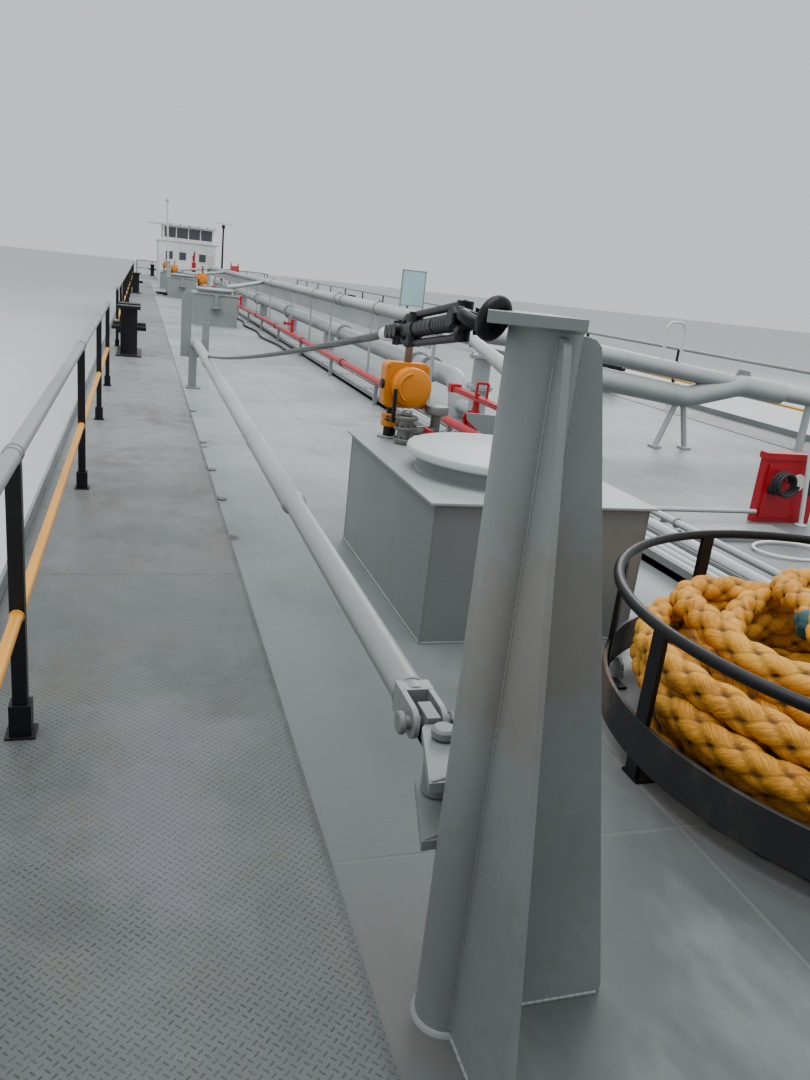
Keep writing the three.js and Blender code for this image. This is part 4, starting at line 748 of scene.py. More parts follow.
def makeBoom():
    y, z, pin = boom["y"], boom["z"], boom["pin"]
    heel, tube, step, band, tip = boom["heel"], boom["tube"], boom["step"], boom["band"], boom["tip"]
    # along the boom: slim heel, step, weld ring on the thicker tube, the wire's band, tip ring, eased end
    profile = [(0, pin - 0.1), (heel, pin - 0.1), (heel, step + 0.045), (heel + 0.006, step + 0.035),
               (tube + 0.001, step + 0.012), (tube + 0.003, step), (tube, step - 0.01),
               (tube, step - 1.42), (tube + 0.003, step - 1.43), (tube, step - 1.44),
               (tube, band + 0.03), (tube + 0.008, band + 0.028), (tube + 0.008, band - 0.028), (tube, band - 0.03),
               (tube, tip + 0.16), (tube + 0.012, tip + 0.158), (tube + 0.012, tip + 0.122), (tube, tip + 0.12),
               (tube, tip + 0.01), (tube - 0.01, tip), (0, tip)]
    parts = [turned(profile, (0, y, z), axisX, 48)]
    # the fork's two ears with round noses, its root block, and the eye plate that takes the wire
    reach = 0.042
    nose = [(pin + reach * math.cos(a), z + reach * math.sin(a)) for a in np.linspace(-1.4, 1.4, 14)]
    ear = [(pin - 0.14, z - reach), (pin - 0.01, z - reach), *nose, (pin - 0.01, z + reach),
           (pin - 0.14, z + reach)]
    parts += [slab(ear, "xz", y + side, y + side + 0.016) for side in (-0.046, 0.03)]
    eye = [(band - 0.05, z + 0.04), (band + 0.035, z + 0.04), (band + 0.035, z + 0.09),
           (band - 0.02, z + 0.095)]
    parts += [
        brick((pin - 0.145, pin - 0.09), (y - 0.047, y + 0.047), (z - 0.043, z + 0.043)),
        slab(eye, "xz", y - 0.01, y + 0.01),
        ringBead((pin - 0.147, y, z), heel, 0.005, axisX),
    ]
    stand(putMesh("derrick_boom_round", parts, [boomPaint], 0.003), "boom", ["derrick_boom"])


def onTopping(x, raised=0.0, side=0.0):
    # the line from the post's cap down to the boom, at full-size x
    aft = topping["crown"] - x
    y = post["y"] - 0.116 + side + topping["slope"][0] * aft
    return np.array([x, y, post["height"] - 0.006 + raised + topping["slope"][1] * aft])


def makeTurnbuckle():
    crown, fore, aft, end = topping["crown"], topping["fore"], topping["aft"], topping["end"]
    # bow shackle threaded round the cap's overhang, and the jaw that it carries
    ring = (post["x"] + 0.014, post["y"] - 0.112, post["height"] + 0.004)
    parts = [torus(ring, 0.03, 0.0125, (0.85, 0.5, -0.3), 48, 16),
             torus(onTopping(crown + 0.036, -0.006), 0.03, 0.012, (0.2, 0.3, 1), 36, 14),
             rod(onTopping(crown, 0, -0.034), onTopping(crown, 0, 0.034), 0.014, 18),
             disc(onTopping(crown, 0, -0.044), axisY, 0.021, 0.014, 0.003, 6)]
    for side in (-0.02, 0.02):
        outline = [(0, -0.026), (0.02, -0.024), (0.045, 0), (0.02, 0.024), (0, 0.026)]
        y = onTopping(fore)[1] + side
        parts.append(slab(onTopping(fore + 0.02)[[0, 2]] + outline, "xz", y - 0.006, y + 0.006))
    for raised in (-0.03, 0.03):
        parts.append(rod(onTopping(fore, raised * 1.05), onTopping(aft, raised * 1.05), 0.0085, 18))
    for place in (fore, aft):
        parts.append(rod(onTopping(place, -0.038), onTopping(place, 0.038), 0.0165, 18))
        parts.append(rod(onTopping(place + 0.024), onTopping(place - 0.024), 0.021, 18))
    middle = (fore + aft) / 2
    for start, stop, radius in ((crown, middle + 0.003, 0.018), (middle - 0.003, end + 0.09, 0.018)):
        t = np.linspace(0, 1, 70)[:, None]
        thread = radius * (1 + 0.04 * np.sin(t[:, 0] * 22 * np.pi))   # eleven shallow ribs
        parts.append(tubeOn(onTopping(start) * (1 - t) + onTopping(stop) * t, thread, 14))
    # thimble, wire clips and the pale sleeve
    parts.append(torus(onTopping(aft - 0.05), 0.028, 0.012, axisY, 32, 12))
    for place in (aft - 0.085, aft - 0.12, aft - 0.155):
        parts.append(rod(onTopping(place, 0, -0.028), onTopping(place, 0, 0.028), 0.016, 14))
        parts.append(rod(onTopping(place, -0.03), onTopping(place, 0.028), 0.009, 10))
    parts.append(rod(onTopping(end + 0.09), onTopping(end), 0.018, 18, 1))
    stand(putMesh("turnbuckle_rigged", parts, [blackPaint, labelWhite], 0.002),
          replaces=["turnbuckle"])


def makeWire():
    # a slightly sagging line; its radius has six lobes that turn as it runs: 0.0095 + 0.0016 |cos(3 a + lay)|
    start = onTopping(topping["end"] - 0.0006)
    end = np.array([boom["band"] + 0.0368, boom["y"], boom["z"] + 0.07])
    line = bowed(start, (start + end) / 2 - (0, 0, 0.07), end, 700)
    lay = np.linspace(0, 1, len(line))[:, None] * topping["lays"]
    wire = sweep(line, 0.0095 + 0.0016 * np.abs(np.cos(3 * evenly(18)[None] + lay)))
    made = putMesh("topping_wire_laid", [wire], [wireGrease])
    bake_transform(made)
    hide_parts("topping_wire")


def makeCrutch():
    y, z, tube = boom["y"], boom["z"], boom["tube"]
    x, slot = boom["tip"] + 0.07, boom["tube"] + 0.012
    a = np.linspace(0, -np.pi, 13)
    cradle = [(slot * math.cos(v), z - 0.002 + (tube + 0.0006) * math.sin(v)) for v in a]
    head = [(-0.2, 0.4), (0.16, 0.4), (0.16, 0.86), (slot, 0.86), *cradle, (-slot, 1.22), (-0.16, 1.22),
            (-0.2, 1.1)]
    parts = [slab([(y + u, v) for u, v in head], "yz", x - 0.015, x + 0.015),
             brick((x - 0.05, x + 0.05), (y - 0.09, y + 0.01), (0.001, 0.5)),
             brick((x - 0.1, x + 0.1), (y - 0.12, y + 0.06), (0.001, 0.02))]
    stand(putMesh("boom_crutch_plate", parts, [gearPaint], 0.003), replaces=["boom_crutch"])


for make in (makePost, makeGooseneck, makeBoom, makeTurnbuckle, makeWire, makeCrutch):
    make()
print("derrick rigged")

# rope basket
basket = {"x": 29.74, "y": -1.57, "radius": 1.15, "height": 0.6, "band": (0.07, 0.23), "legs": 9, "first": -92}


def makeBasket():
    x, y, r, h = basket["x"], basket["y"], basket["radius"], basket["height"]
    low, high = basket["band"]
    inner = r - 0.016
    hoop = [(inner, low), (r - 0.002, low), (r, low + 0.002), (r, high - 0.002), (r - 0.002, high),
            (inner, high), (inner, low)]
    parts = [turned(hoop, (x, y, 0), sides=120, slot=1), torus((x, y, h), r, 0.022, rings=120, sides=16)]
    for k in range(basket["legs"]):
        a = math.radians(basket["first"] + 360 / basket["legs"] * k)
        c, s = math.cos(a), math.sin(a)

        def atLeg(out, along):
            # a place by its reach from the centre and its shift along the hoop
            return x + out * c - along * s, y + out * s + along * c

        flat = [(r - 0.022, -0.035), (r - 0.002, -0.035), (r - 0.002, 0.035), (r - 0.022, 0.035)]
        parts += [slab([atLeg(*corner) for corner in flat], "xy", 0.001, h),
                  bead((*atLeg(r - 0.01, -0.03), h - 0.024), (*atLeg(r - 0.01, 0.03), h - 0.024), 0.006),
                  block(*atLeg(r - 0.05, 0), 0.05, 0.05, (0.001, 0.012))]
    bandPaint = paintFinish("bandPaint", (0.012, 0.0125, 0.013), 0.42, patch=0.3, stains=[
        (14.33, -1.02, 1.875, 0.16, 0.9, (0.2, 0.17, 0.14)),
        (14.62, -1.3, 1.88, 0.14, 0.6, (0.14, 0.08, 0.05))])
    stand(putMesh("rope_basket_round", parts, [blackPaint, bandPaint], 0.003),
          replaces=["rope_basket"])


makeBasket()

# hand rails
rail = {"y": 4.83, "height": 1.0, "middle": 0.46, "tube": 0.028, "middleTube": 0.02, "post": 0.024,
        "foot": 0.0092, "weldedFrom": 20}
rails = {
    # side, places of the posts, ends of the tubes
    "rail_starboard_fore": (-1, (32.2, 29.17, 25.82, 23.13, 20.8), (32.6, 20.45)),
    "rail_starboard_middle": (-1, (16, 13.2, 10.3, 7.4, 4.5, 1.6, -1.3, -4.2), (16.2, -4.4)),
    "rail_starboard_aft": (-1, (-7.2, -10.8, -14.4, -18, -21.6), (-7, -21.8)),
    "rail_port": (1, tuple(32.2 - 3.4 * k for k in range(16)) + (-22,), (32.6, -22.2)),
}


def makeRails():
    for name, (side, posts, (start, end)) in rails.items():
        y = side * rail["y"]
        parts = []
        # post, its sleeve and its foot
        for x in posts:
            for wide, span in ((rail["post"], (0.1, 0.985)), (0.036, (rail["foot"], 0.13)),
                               (0.05, (rail["foot"], 0.016))):
                parts.append(block(x, y, wide, wide, span))
        # top and middle tubes with eased ends; welds where the near posts carry them
        for z, radius, slot in ((rail["height"], rail["tube"], 1), (rail["middle"], rail["middleTube"], 2)):
            thin = radius - 0.006
            profile = [(0, start), (thin, start), (radius, start - 0.006), (radius, end + 0.006), (thin, end),
                       (0, end)]
            parts.append(turned(profile, (0, y, z), axisX, 28, slot))
            welded = [x for x in posts if side < 0 and x > rail["weldedFrom"]]
            parts += [ringBead((x + d, y, z), radius + 0.0005, 0.004, axisX, slot)
                      for x in welded for d in (-0.028, 0.028)]
        stand(putMesh(name + "_painted", parts, [blackPaint, railGrey, railYellow], 0.003),
              replaces=[name])


makeRails()
print("basket and rails made")

# hatch trunks, lids, gauges
trunks = [
    # fore end, length, starboard side, port side, height
    (28.52, 1.64, -3.16, -2.03, 0.71), (9.2, 1.7, -3.13, -2.05, 0.8),
    (-4.4, 1.7, -3.38, -2.3, 0.8), (-12.9, 1.7, -3.5, -2.42, 0.8)]
lid = {"radius": 0.49, "coaming": 0.43, "thickness": 0.048, "rise": 0.085, "aftOfEnd": 0.6, "inboard": 0.54}
gauge = {"back": 0.12, "inboard": 0.2, "stool": 0.07, "coverY": (-0.07, 0.21), "coverZ": (0.12, 0.395),
         "corner": 0.035}
gaugeValves = [
    # from the trunk's after side, from its starboard side, radius, height
    (0.32, 0.24, 0.055, 0.015), (0.22, 0.46, 0.05, 0.015)]


def gaugeParts(x, y, z, slots):
    # a level gauge: cover plate with round corners, drum, crank, pipe above
    orange, black, brown = slots
    (starboard, port), (low, high), corner = gauge["coverY"], gauge["coverZ"], gauge["corner"]
    face = []
    for quarter, (cy, cz) in enumerate(((port - corner, high - corner), (starboard + corner, high - corner),
                                        (starboard + corner, low + corner), (port - corner, low + corner))):
        face += [(y + cy + corner * math.cos(a), z + cz + corner * math.sin(a))
                 for a in np.linspace(0, np.pi / 2, 7) + quarter * np.pi / 2]
    centre = (y + 0.085, z + 0.255)
    drum = [(0, 0), (0.118, 0), (0.12, 0.004), (0.12, 0.088), (0.116, 0.098), (0.1, 0.106), (0.05, 0.112),
            (0, 0.113)]
    parts = [
        disc((x, y, z), axisZ, 0.06, 0.035, 0.004, 28, orange),
        disc((x, y, z + 0.045), axisZ, 0.06, 0.035, 0.004, 28, orange),
        disc((x, y, z + 0.03), axisZ, 0.03, 0.1, 0.002, 20, black),
        slab(face, "yz", x - 0.07, x + 0.04, orange),
        turned(drum, (x + 0.03, *centre), axisX, 56, orange),
        disc((x + 0.02, y - 0.075, z + 0.26), (0, -1, 0), 0.03, 0.014, 0.003, 24, black),
        rod((x - 0.02, y + 0.08, z + 0.38), (x - 0.02, y + 0.08, z + 0.56), 0.024, 18, brown),
        disc((x - 0.02, y + 0.08, z + 0.555), axisZ, 0.032, 0.028, 0.006, 20, brown),
        # a raised rib round the drum's upper left, the crank, and the cover's corner screws
        torus((x + 0.141, *centre), 0.088, 0.008, axisX, 30, 10, (0.2, 2.6), orange),
        rod((x + 0.17, y - 0.035, z + 0.05), (x + 0.165, y - 0.035, z + 0.25), 0.0125, 14, black),
        rod((x, y - 0.035, z + 0.06), (x + 0.17, y - 0.035, z + 0.06), 0.01, 12, black)]
    return parts + [disc((x + 0.04, y + u, z + v), axisX, 0.009, 0.007, 0.002, 6, orange)
                    for u in (-0.05, 0.19) for v in (0.14, 0.375)]


def makeTrunk(i, fore, length, starboard, port, top):
    aft, middle = fore - length, (starboard + port) / 2
    lidX, lidY = fore - lid["aftOfEnd"], starboard + lid["inboard"]
    hingeY, hingeZ = lidY + lid["radius"] + 0.05, top + lid["rise"] + 0.03
    gaugeX, gaugeY = aft + gauge["back"], starboard + gauge["inboard"]
    wall, rise = lid["coaming"], lid["rise"]
    coaming = [(0, 0), (wall + 0.012, 0), (wall + 0.004, 0.012), (wall, 0.016), (wall, rise), (0, rise)]
    bracket = [(port - 0.48, top + 0.2), (port - 0.47, top + 0.155), (port - 0.26, top - 0.005),
               (port + 0.02, top - 0.005), (port + 0.02, top + 0.18)]
    parts = [brick((aft, fore), (starboard, port), (0.001, top - 0.01)),
             brick((aft - 0.03, fore + 0.03), (starboard - 0.03, port + 0.03), (top - 0.012, top), 1),
             turned(coaming, (lidX, lidY, top - 0.002), sides=64),
             rod((lidX - 0.13, hingeY, hingeZ), (lidX + 0.13, hingeY, hingeZ), 0.014, 16),
             disc((gaugeX, gaugeY, top), axisZ, 0.075, 0.012, 0.003, 32),
             rod((gaugeX, gaugeY, top), (gaugeX, gaugeY, top + gauge["stool"]), 0.04, 24, 2),
             slab(bracket, "yz", aft + 0.234, aft + 0.246)]
    # two hinge lugs with eased heads
    edge = [(0.035, top - 0.01), (0.028, hingeZ + 0.02), (0.01, hingeZ + 0.032)]
    mirrored = [(-u, v) for u, v in (edge[0], *edge[:0:-1])]
    lug = [(hingeY + u, v) for u, v in (mirrored[0], *edge, *mirrored[1:])]
    parts += [slab(lug, "yz", lidX + along, lidX + along + 0.03) for along in (-0.12, 0.09)]
    for back, inboard, radius, high in gaugeValves:
        foot = (aft + back, starboard + inboard)
        parts.append(rod((*foot, top - 0.01), (*foot, top + high), radius, 28))
    # the foot's weld and the corner welds
    for y in (starboard, port):
        parts.append(bead((aft, y, 0.003), (fore, y, 0.003), 0.007))
        parts += [bead((x, y, 0.01), (x, y, top - 0.02), 0.004) for x in (aft, fore)]
    parts += [bead((x, starboard, 0.003), (x, port, 0.003), 0.007) for x in (aft, fore)]
    if i:
        # the near trunk's gauge is a node of its own
        parts += gaugeParts(gaugeX, gaugeY, top + gauge["stool"] - 0.01, (3, 2, 4))
        parts += [brick((fore - 0.01, fore + 0.05), (middle - 0.05, middle + 0.05), (top - 0.35, top - 0.01)),
                  disc((fore + 0.05, middle, top - 0.35), axisZ, 0.13, 0.04, 0.005, 36)]
    trunkFinishes = [gearPaint, coverPaint, blackPaint, orangePaint, brownPipe]
    stand(putMesh(f"hatch_trunk_{i + 1}_welded", parts, trunkFinishes, 0.003),
          replaces=[f"hatch_trunk_{i + 1}"])
    makeLid(i, lidX, lidY, hingeY, hingeZ, top + rise + 0.0006)


def makeLid(i, x, y, hingeY, hingeZ, bottom):
    # dished plate with a rolled rim, strap and knuckle; the near one has a grab handle
    r, t = lid["radius"], lid["thickness"]
    rim = [(0, 0), (r - 0.01, 0), (r, 0.008), (r, t - 0.02), (r - 0.006, t - 0.008), (r - 0.02, t - 0.002),
           (r - 0.05, t - 0.006), (r - 0.06, t - 0.004), (0, t + 0.012)]
    pieces = [turned(rim, (x, y, bottom), sides=96),
              disc((x - 0.07, hingeY, hingeZ), axisX, 0.03, 0.14, 0.004, 20),
              brick((x - 0.05, x + 0.05), (y + r - 0.1, hingeY), (hingeZ - 0.012, hingeZ + 0.02))]
    if i == 0:
        corners = [(0.02, -0.06, -0.01), (0.02, -0.02, 0.05), (0.3, -0.13, 0.05), (0.3, -0.17, -0.02)]
        handle = rounded([(x + u, y + r + v, bottom + t + w) for u, v, w in corners], 0.03, 5)
        pieces.append(tubeOn(handle, 0.011, 12, 1))
    stand(putMesh(f"tank_lid_{i + 1}_dished", pieces, [lidPaint, blackPaint], 0.002), f"lid_{i + 1}",
          [f"tank_lid_{i + 1}"])


for i, values in enumerate(trunks):
    makeTrunk(i, *values)


def makeGauge():
    fore, length, starboard, port, top = trunks[0]
    aft = fore - length
    body = gaugeParts(aft + gauge["back"], starboard + gauge["inboard"], top + gauge["stool"] + 0.0006,
                      (0, 1, 2))
    stand(putMesh("level_gauge_drum", body, [orangePaint, blackPaint, brownPipe], 0.003),
          replaces=["level_gauge"])
    # the large valve with three flanges and a stem nut, the small one with its cap, a pipe between them, a tag
    (ax, ay, az), (bx, by, bz) = [(aft + back, starboard + inboard, top + high + 0.0006)
                                  for back, inboard, _, high in gaugeValves]
    cap = [(0, 0), (0.066, 0.0), (0.076, 0.008), (0.076, 0.046), (0.07, 0.056), (0.03, 0.064), (0, 0.066)]
    parts = [disc((ax, ay, az + rise), axisZ, 0.072, 0.02, 0.003, 32) for rise in (0, 0.07, 0.135)]
    parts += [rod((ax, ay, az), (ax, ay, az + 0.15), 0.05, 28),
              disc((ax, ay, az + 0.155), axisZ, 0.034, 0.03, 0.005, 6),
              rod((bx, by, bz), (bx, by, bz + 0.18), 0.032, 24),
              disc((bx, by, bz + 0.03), axisZ, 0.05, 0.02, 0.003, 28),
              rod((ax, ay, az + 0.06), (bx, by, bz + 0.06), 0.028, 20),
              turned(cap, (bx, by, bz + 0.155), sides=40)]
    parts += [disc((ax + 0.06 * math.cos(a), ay + 0.06 * math.sin(a), az + rise), axisZ, 0.009, 0.014, 0.002, 6)
              for rise in (0.018, 0.088) for a in evenly(6, 0.2)]
    parts.append(brick((ax + 0.04, ax + 0.16), (ay + 0.1, ay + 0.125), (az + 0.07, az + 0.1), 1))
    stand(putMesh("gauge_valves_turned", parts, [bareSteel, redPaint], 0.002),
          replaces=["gauge_valves"])


makeGauge()
print("hatches made")

# piping
header = {"y": -0.66, "z": 1.16, "radius": 0.1, "aft": -20.5, "fore": 23.0, "flange": -0.33, "branch": 0.06,
          "legs": (21, 17.6, 14.25, 12, 9.25, 5.3, 2.1, -1, -4, -7, -10, -13, -16, -19),
          "bands": (18, 15.4, 14.9, 12.5, 9.8, 5.7, 2.3, -5.5, -14.5), "webLow": 0.79, "webCut": 0.08,
          "webGap": 0.1}


def makeHeader():
    # the pipe on its legs, a web with cut corners between each two of them, a branch down to each hatch trunk
    y, z, r, aft, fore = (header[key] for key in ("y", "z", "radius", "aft", "fore"))
    run = rounded([(fore, header["flange"], z), (fore, y, z), (aft, y, z), (aft, y, 0.001)], 0.3, 10)
    parts = [tubeOn(run, r, 36), disc((fore, header["flange"] - 0.03, z), axisY, r + 0.06, 0.03, 0.004, 40)]
    for x in header["legs"]:
        parts += [block(x, y, 0.05, 0.01, (0.001, z)), block(x, y, 0.08, 0.06, (0.001, 0.012))]
    band = [(r, -0.035), (r + 0.014, -0.032), (r + 0.014, 0.032), (r, 0.035)]
    for x in header["bands"]:
        parts += [turned(band, (x, y, z), axisX, 40, 1),
                  block(x, y, 0.02, 0.02, (z + r + 0.005, z + r + 0.045), 1)]
    low, high, cut = header["webLow"], z - r + 0.02, header["webCut"]
    for legAft, legFore in zip(header["legs"][1:], header["legs"]):
        a, b = legAft + header["webGap"], legFore - header["webGap"]
        web = [(a, high), (a, low + cut), (a + cut, low), (b - cut, low), (b, low + cut), (b, high)]
        parts.append(slab(web, "xz", y - 0.007, y + 0.007))
    for i, (trunkFore, length, _, port, height) in enumerate(trunks):
        # the near branch is longer and drops less
        startX, drop = (trunkFore - 5.5, 0.15) if i else (trunkFore - 6.5, 0.03)
        endX, endY, foot, start = trunkFore - length + 0.1, port - 0.11, height + 0.001, z - 0.03
        level = start - drop
        corners = [(startX, y, start), (endX - 0.45, port + 0.08, level), (endX, endY, level),
                   (endX, endY, foot)]
        parts += [tubeOn(rounded(corners, 0.12, 8), header["branch"], 24),
                  disc((endX, endY, foot), axisZ, 0.1, 0.02, 0.003, 32)]
    stand(putMesh("header_pipe_welded", parts, [pipePaint, gearPaint], 0.003),
          replaces=["header_pipe"])


cargo = {"y": -0.4, "z": 0.47, "radius": 0.14, "aft": -19, "fore": 21.5, "boltedFrom": 19, "column": 0.65,
         "flanges": (20.2, 19.6, 14.5, 7.5, 0.5, -6.5, -13.5), "saddles": (18.4, 13, 8, 2, -4, -10, -16, -18.6)}


def makeCargoPipe():
    # the low pipe with its flanges and saddles, and the flanged column before its fore end
    y, z, r, fore = (cargo[key] for key in ("y", "z", "radius", "fore"))
    parts = [tubeOn(rounded([(fore, y, 0.001), (fore, y, z), (cargo["aft"], y, z)], 0.32, 12), r, 40)]
    flange = [(r, 0), (r + 0.045, 0.004), (r + 0.05, 0.02), (r + 0.05, 0.06), (r + 0.045, 0.076), (r, 0.08)]
    circle = [((r + 0.03) * math.cos(a), (r + 0.03) * math.sin(a)) for a in evenly(12)]
    for x in cargo["flanges"]:
        parts.append(turned(flange, (x, y, z), axisX, 48, 1))
        bolts = circle if x > cargo["boltedFrom"] else []
        parts += [disc((x - 0.014, y + u, z + v), axisX, 0.013, 0.108, 0.003, 6, 1) for u, v in bolts]
    parts += [block(x, y, 0.04, 0.12, (0.001, z)) for x in cargo["saddles"]]
    columnX = fore + cargo["column"]
    column = [(0, 0.001), (0.11, 0.001), (0.11, 0.45), (0.17, 0.455), (0.17, 0.475), (0.165, 0.478), (0.17, 0.481),
              (0.17, 0.505), (0.11, 0.51), (0.11, 0.835), (0.17, 0.84), (0.17, 0.875), (0.15, 0.885), (0, 0.89)]
    parts += [turned(column, (columnX, y, 0), sides=48), rod((fore, y, 0.16), (columnX, y, 0.16), 0.09, 24)]
    circle = [(columnX + 0.145 * math.cos(a), y + 0.145 * math.sin(a)) for a in evenly(8)]
    parts += [disc((*bolt, low), axisZ, 0.012, 0.075, 0.003, 6, 1) for low in (0.443, 0.82) for bolt in circle]
    stand(putMesh("cargo_pipe_flanged", parts, [pipePaint, gearPaint], 0.003),
          replaces=["cargo_pipe"])


fireMain = {"y": -1.4, "z": 0.32, "radius": 0.045, "aft": -22.5, "fore": 26, "hydrants": (13.9, 3.9, -6.1, -16.1),
            "saddles": [23.9 - 2.95 * k for k in range(16)], "sleeves": [22.4 - 3.6 * k for k in range(8)]}


def makeFireMain():
    # the red line with saddles, sleeves and hydrants, and the monitor on its pedestal at the after end
    y, z, r, aft, fore = (fireMain[key] for key in ("y", "z", "radius", "aft", "fore"))
    parts = [tubeOn(rounded([(fore, y, 0.001), (fore, y, z), (aft, y, z), (aft, y, 1.5)], 0.15, 10), r, 24)]
    parts += [block(x, y, 0.03, 0.025, (0.001, z), 1) for x in fireMain["saddles"]]
    sleeve = [(r, -0.07), (r + 0.014, -0.066), (r + 0.014, 0.066), (r, 0.07)]
    parts += [turned(sleeve, (x, y, z), axisX, 28, 2) for x in fireMain["sleeves"]]
    outlet, wheel = z + 0.22, z + 0.3
    for x in fireMain["hydrants"]:
        parts += [rod((x, y, z), (x, y, wheel), 0.035, 20),
                  rod((x, y, outlet), (x, y - 0.16, outlet), 0.03, 20),
                  torus((x, y, wheel), 0.075, 0.009, rings=36, sides=8),
                  rod((x - 0.07, y, wheel), (x + 0.07, y, wheel), 0.008, 8),
                  disc((x, y - 0.15, outlet), (0, -1, 0), 0.042, 0.03, 0.005, 24, 2)]
    parts += [rod((aft, y, 1.4), (aft, y, 1.75), 0.07, 24),
              rod((aft, y, 1.7), (aft + 0.7, y, 1.95), 0.06, 24, endRadius=0.04),
              block(aft, y, 0.12, 0.12, (0.001, 1.35)),
              torus((aft + 0.05, y - 0.1, 1.6), 0.1, 0.012, axisY, 36, 8)]
    stand(putMesh("fire_main_red", parts, [redPaint, gearPaint, darkRed], 0.003),
          replaces=["fire_main"])


tray = {"aft": -21, "fore": 28.45, "starboard": -1.35, "port": -1.02, "wall": 0.012,
        "step": 0.2, "stepAft": 25.3, "stepFore": 25.75, "conduits": (0.08, 0.165, 0.25), "clips": (28.1, 26.7),
        # the two loops of pipe beside its fore end: y, radius
        "loops": ((-0.76, 0.045), (-0.5, 0.028))}


def makeTray():
    def line(y):
        # along the tray from aft; near its fore end it steps to port
        return [(tray["aft"], y), (tray["stepAft"], y), (tray["stepFore"], y + tray["step"]),
                (tray["fore"], y + tray["step"])]

    starboard, port, wall = tray["starboard"], tray["port"], tray["wall"]
    parts = [slab(line(low) + line(high)[::-1], "xy", 0.001, top) for low, high, top in (
        (starboard, port, 0.05), (starboard, starboard + wall, 0.1), (port - wall, port, 0.1))]
    for inboard in tray["conduits"]:
        route = rounded([(x, y, 0.072) for x, y in line(starboard + inboard)], 0.2, 6)
        parts.append(tubeOn(route, 0.026, 18, 1))
    for y, radius in tray["loops"]:
        route = rounded([(28.75, y, 0.001), (28.75, y, 0.1), (25.95, y, 0.1), (25.95, y, 0.001)], 0.06, 6)
        parts.append(tubeOn(route, radius, 24, 1))
    edge = port + tray["step"]
    for x in tray["clips"]:
        parts.append(brick((x - 0.03, x + 0.03), (edge - 0.02, -0.46), (0.001, 0.05)))
        parts += [torus((x, y, 0.1), radius + 0.006, 0.008, axisX, 24, 8, slot=2)
                  for y, radius in tray["loops"]]
    parts += [brick((26.45, 26.85), (edge - 0.01, 0.6), (0.001, 0.03)),
              rod((26.3, -0.79, 0.1), (26.3, 0.55, 0.1), 0.02, 20, 1)]
    # straps over the conduits
    for x in np.arange(-20, 28, 1.6):
        y = starboard + (tray["step"] if x > tray["stepFore"] else 0)
        parts.append(brick((x - 0.02, x + 0.02), (y + 0.02, y + 0.31), (0.098, 0.104), 2))
    stand(putMesh("conduit_tray_pipes", parts, [gearPaint, pipePaint, gearPaint], 0.002),
          replaces=["conduit_tray"])


crossover = {
    # corners of both pipes after their first runs from the header's flange to port: y, z
    "upper": ((0.7, 1.08), (2.76, 0.85), (3.9, 0.74), (4.5, 0.74)),
    "lower": ((0.77, 0.79), (2.0, 0.65), (2.75, 0.84), (3.4, 0.78)), "lowerRadius": 0.135,
    # raking props: foot and head in y; posts: y, height, radius, sides
    "props": ((1.7, 1.9), (2.13, 1.98)), "posts": ((3.9, 0.74, 0.05, 20), (-0.12, 1.1, 0.07, 24)),
}


def makeCrossover():
    x, z, r, face = header["fore"], header["z"], header["radius"], header["flange"]
    start = face + 0.0006
    upper = [(x, start, z), (x, -0.15, z)] + [(x, *corner) for corner in crossover["upper"]]
    lower = [(x, face + 0.03, 0.91)] + [(x, *corner) for corner in crossover["lower"]]
    parts = [tubeOn(rounded(upper, 1, 8), r, 36), tubeOn(rounded(lower, 0.5, 8), crossover["lowerRadius"], 36)]
    parts += [rod((x, y, 0.001), (x, y, high), radius, sides) for y, high, radius, sides in crossover["posts"]]
    for foot, head in crossover["props"]:
        parts += [rod((x, foot, 0.02), (x, head, 0.6), 0.035, 20), block(x, foot, 0.07, 0.06, (0.001, 0.03))]
    parts += [disc((x, 4.46, 0.74), axisY, 0.15, 0.04, 0.004, 40),
              disc((x, start, 1.16), axisY, r + 0.06, 0.03, 0.004, 40),
              slab([(2.66, 0.95), (2.9, 0.93), (2.87, 1.02), (2.7, 1.04)], "yz", x - 0.01, x + 0.01, 1)]
    stand(putMesh("crossover_pipes_welded", parts, [pipePaint, gearPaint], 0.003),
          replaces=["crossover_pipes"])


deckValve = {"x": 24, "y": -1.17, "z": 0.5, "foot": 0.0966, "flange": 0.085, "loopHalf": 0.058}


def makeDeckValve():
    # the red valve with its flanges, long lever and square loop; z is where its neck narrows
    x, y, z, foot, wide, reach = (deckValve[key] for key in ("x", "y", "z", "foot", "flange", "loopHalf"))
    bore = z - 0.14
    body = [(0, foot), (0.05, foot), (0.05, 0.3), (0.062, 0.31), (0.062, 0.42), (0.05, 0.43),
            (0.035, 0.5), (0.035, 0.6), (0, 0.6)]
    parts = [turned(body, (x, y, 0), sides=32),
             disc((x - 0.13, y, bore), axisX, wide, 0.03, 0.004, 36),
             disc((x + 0.1, y, bore), axisX, wide, 0.03, 0.004, 36),
             rod((x - 0.12, y, bore), (x + 0.12, y, bore), 0.055, 28),
             brick((x - 0.7, x + 0.6), (y - 0.045, y + 0.045), (z + 0.065, z + 0.115)),
             brick((x - 0.72, x - 0.62), (y - 0.06, y + 0.06), (z + 0.05, z + 0.14)),
             disc((x, y, z + 0.11), axisZ, 0.03, 0.03, 0.004, 6)]
    loop = [(x + 0.115, y + u, z + v) for u, v in ((-reach, 0.1), (-reach, 0.255), (reach, 0.255), (reach, 0.1))]
    parts.append(tubeOn(rounded(loop, 0.015, 5), 0.014, 14))
    stand(putMesh("deck_valve_lever", parts, [redPaint], 0.003), replaces=["deck_valve"])


fireBox = {"x": (26.2, 26.28), "y": (0.57, 1.15), "top": 0.6}


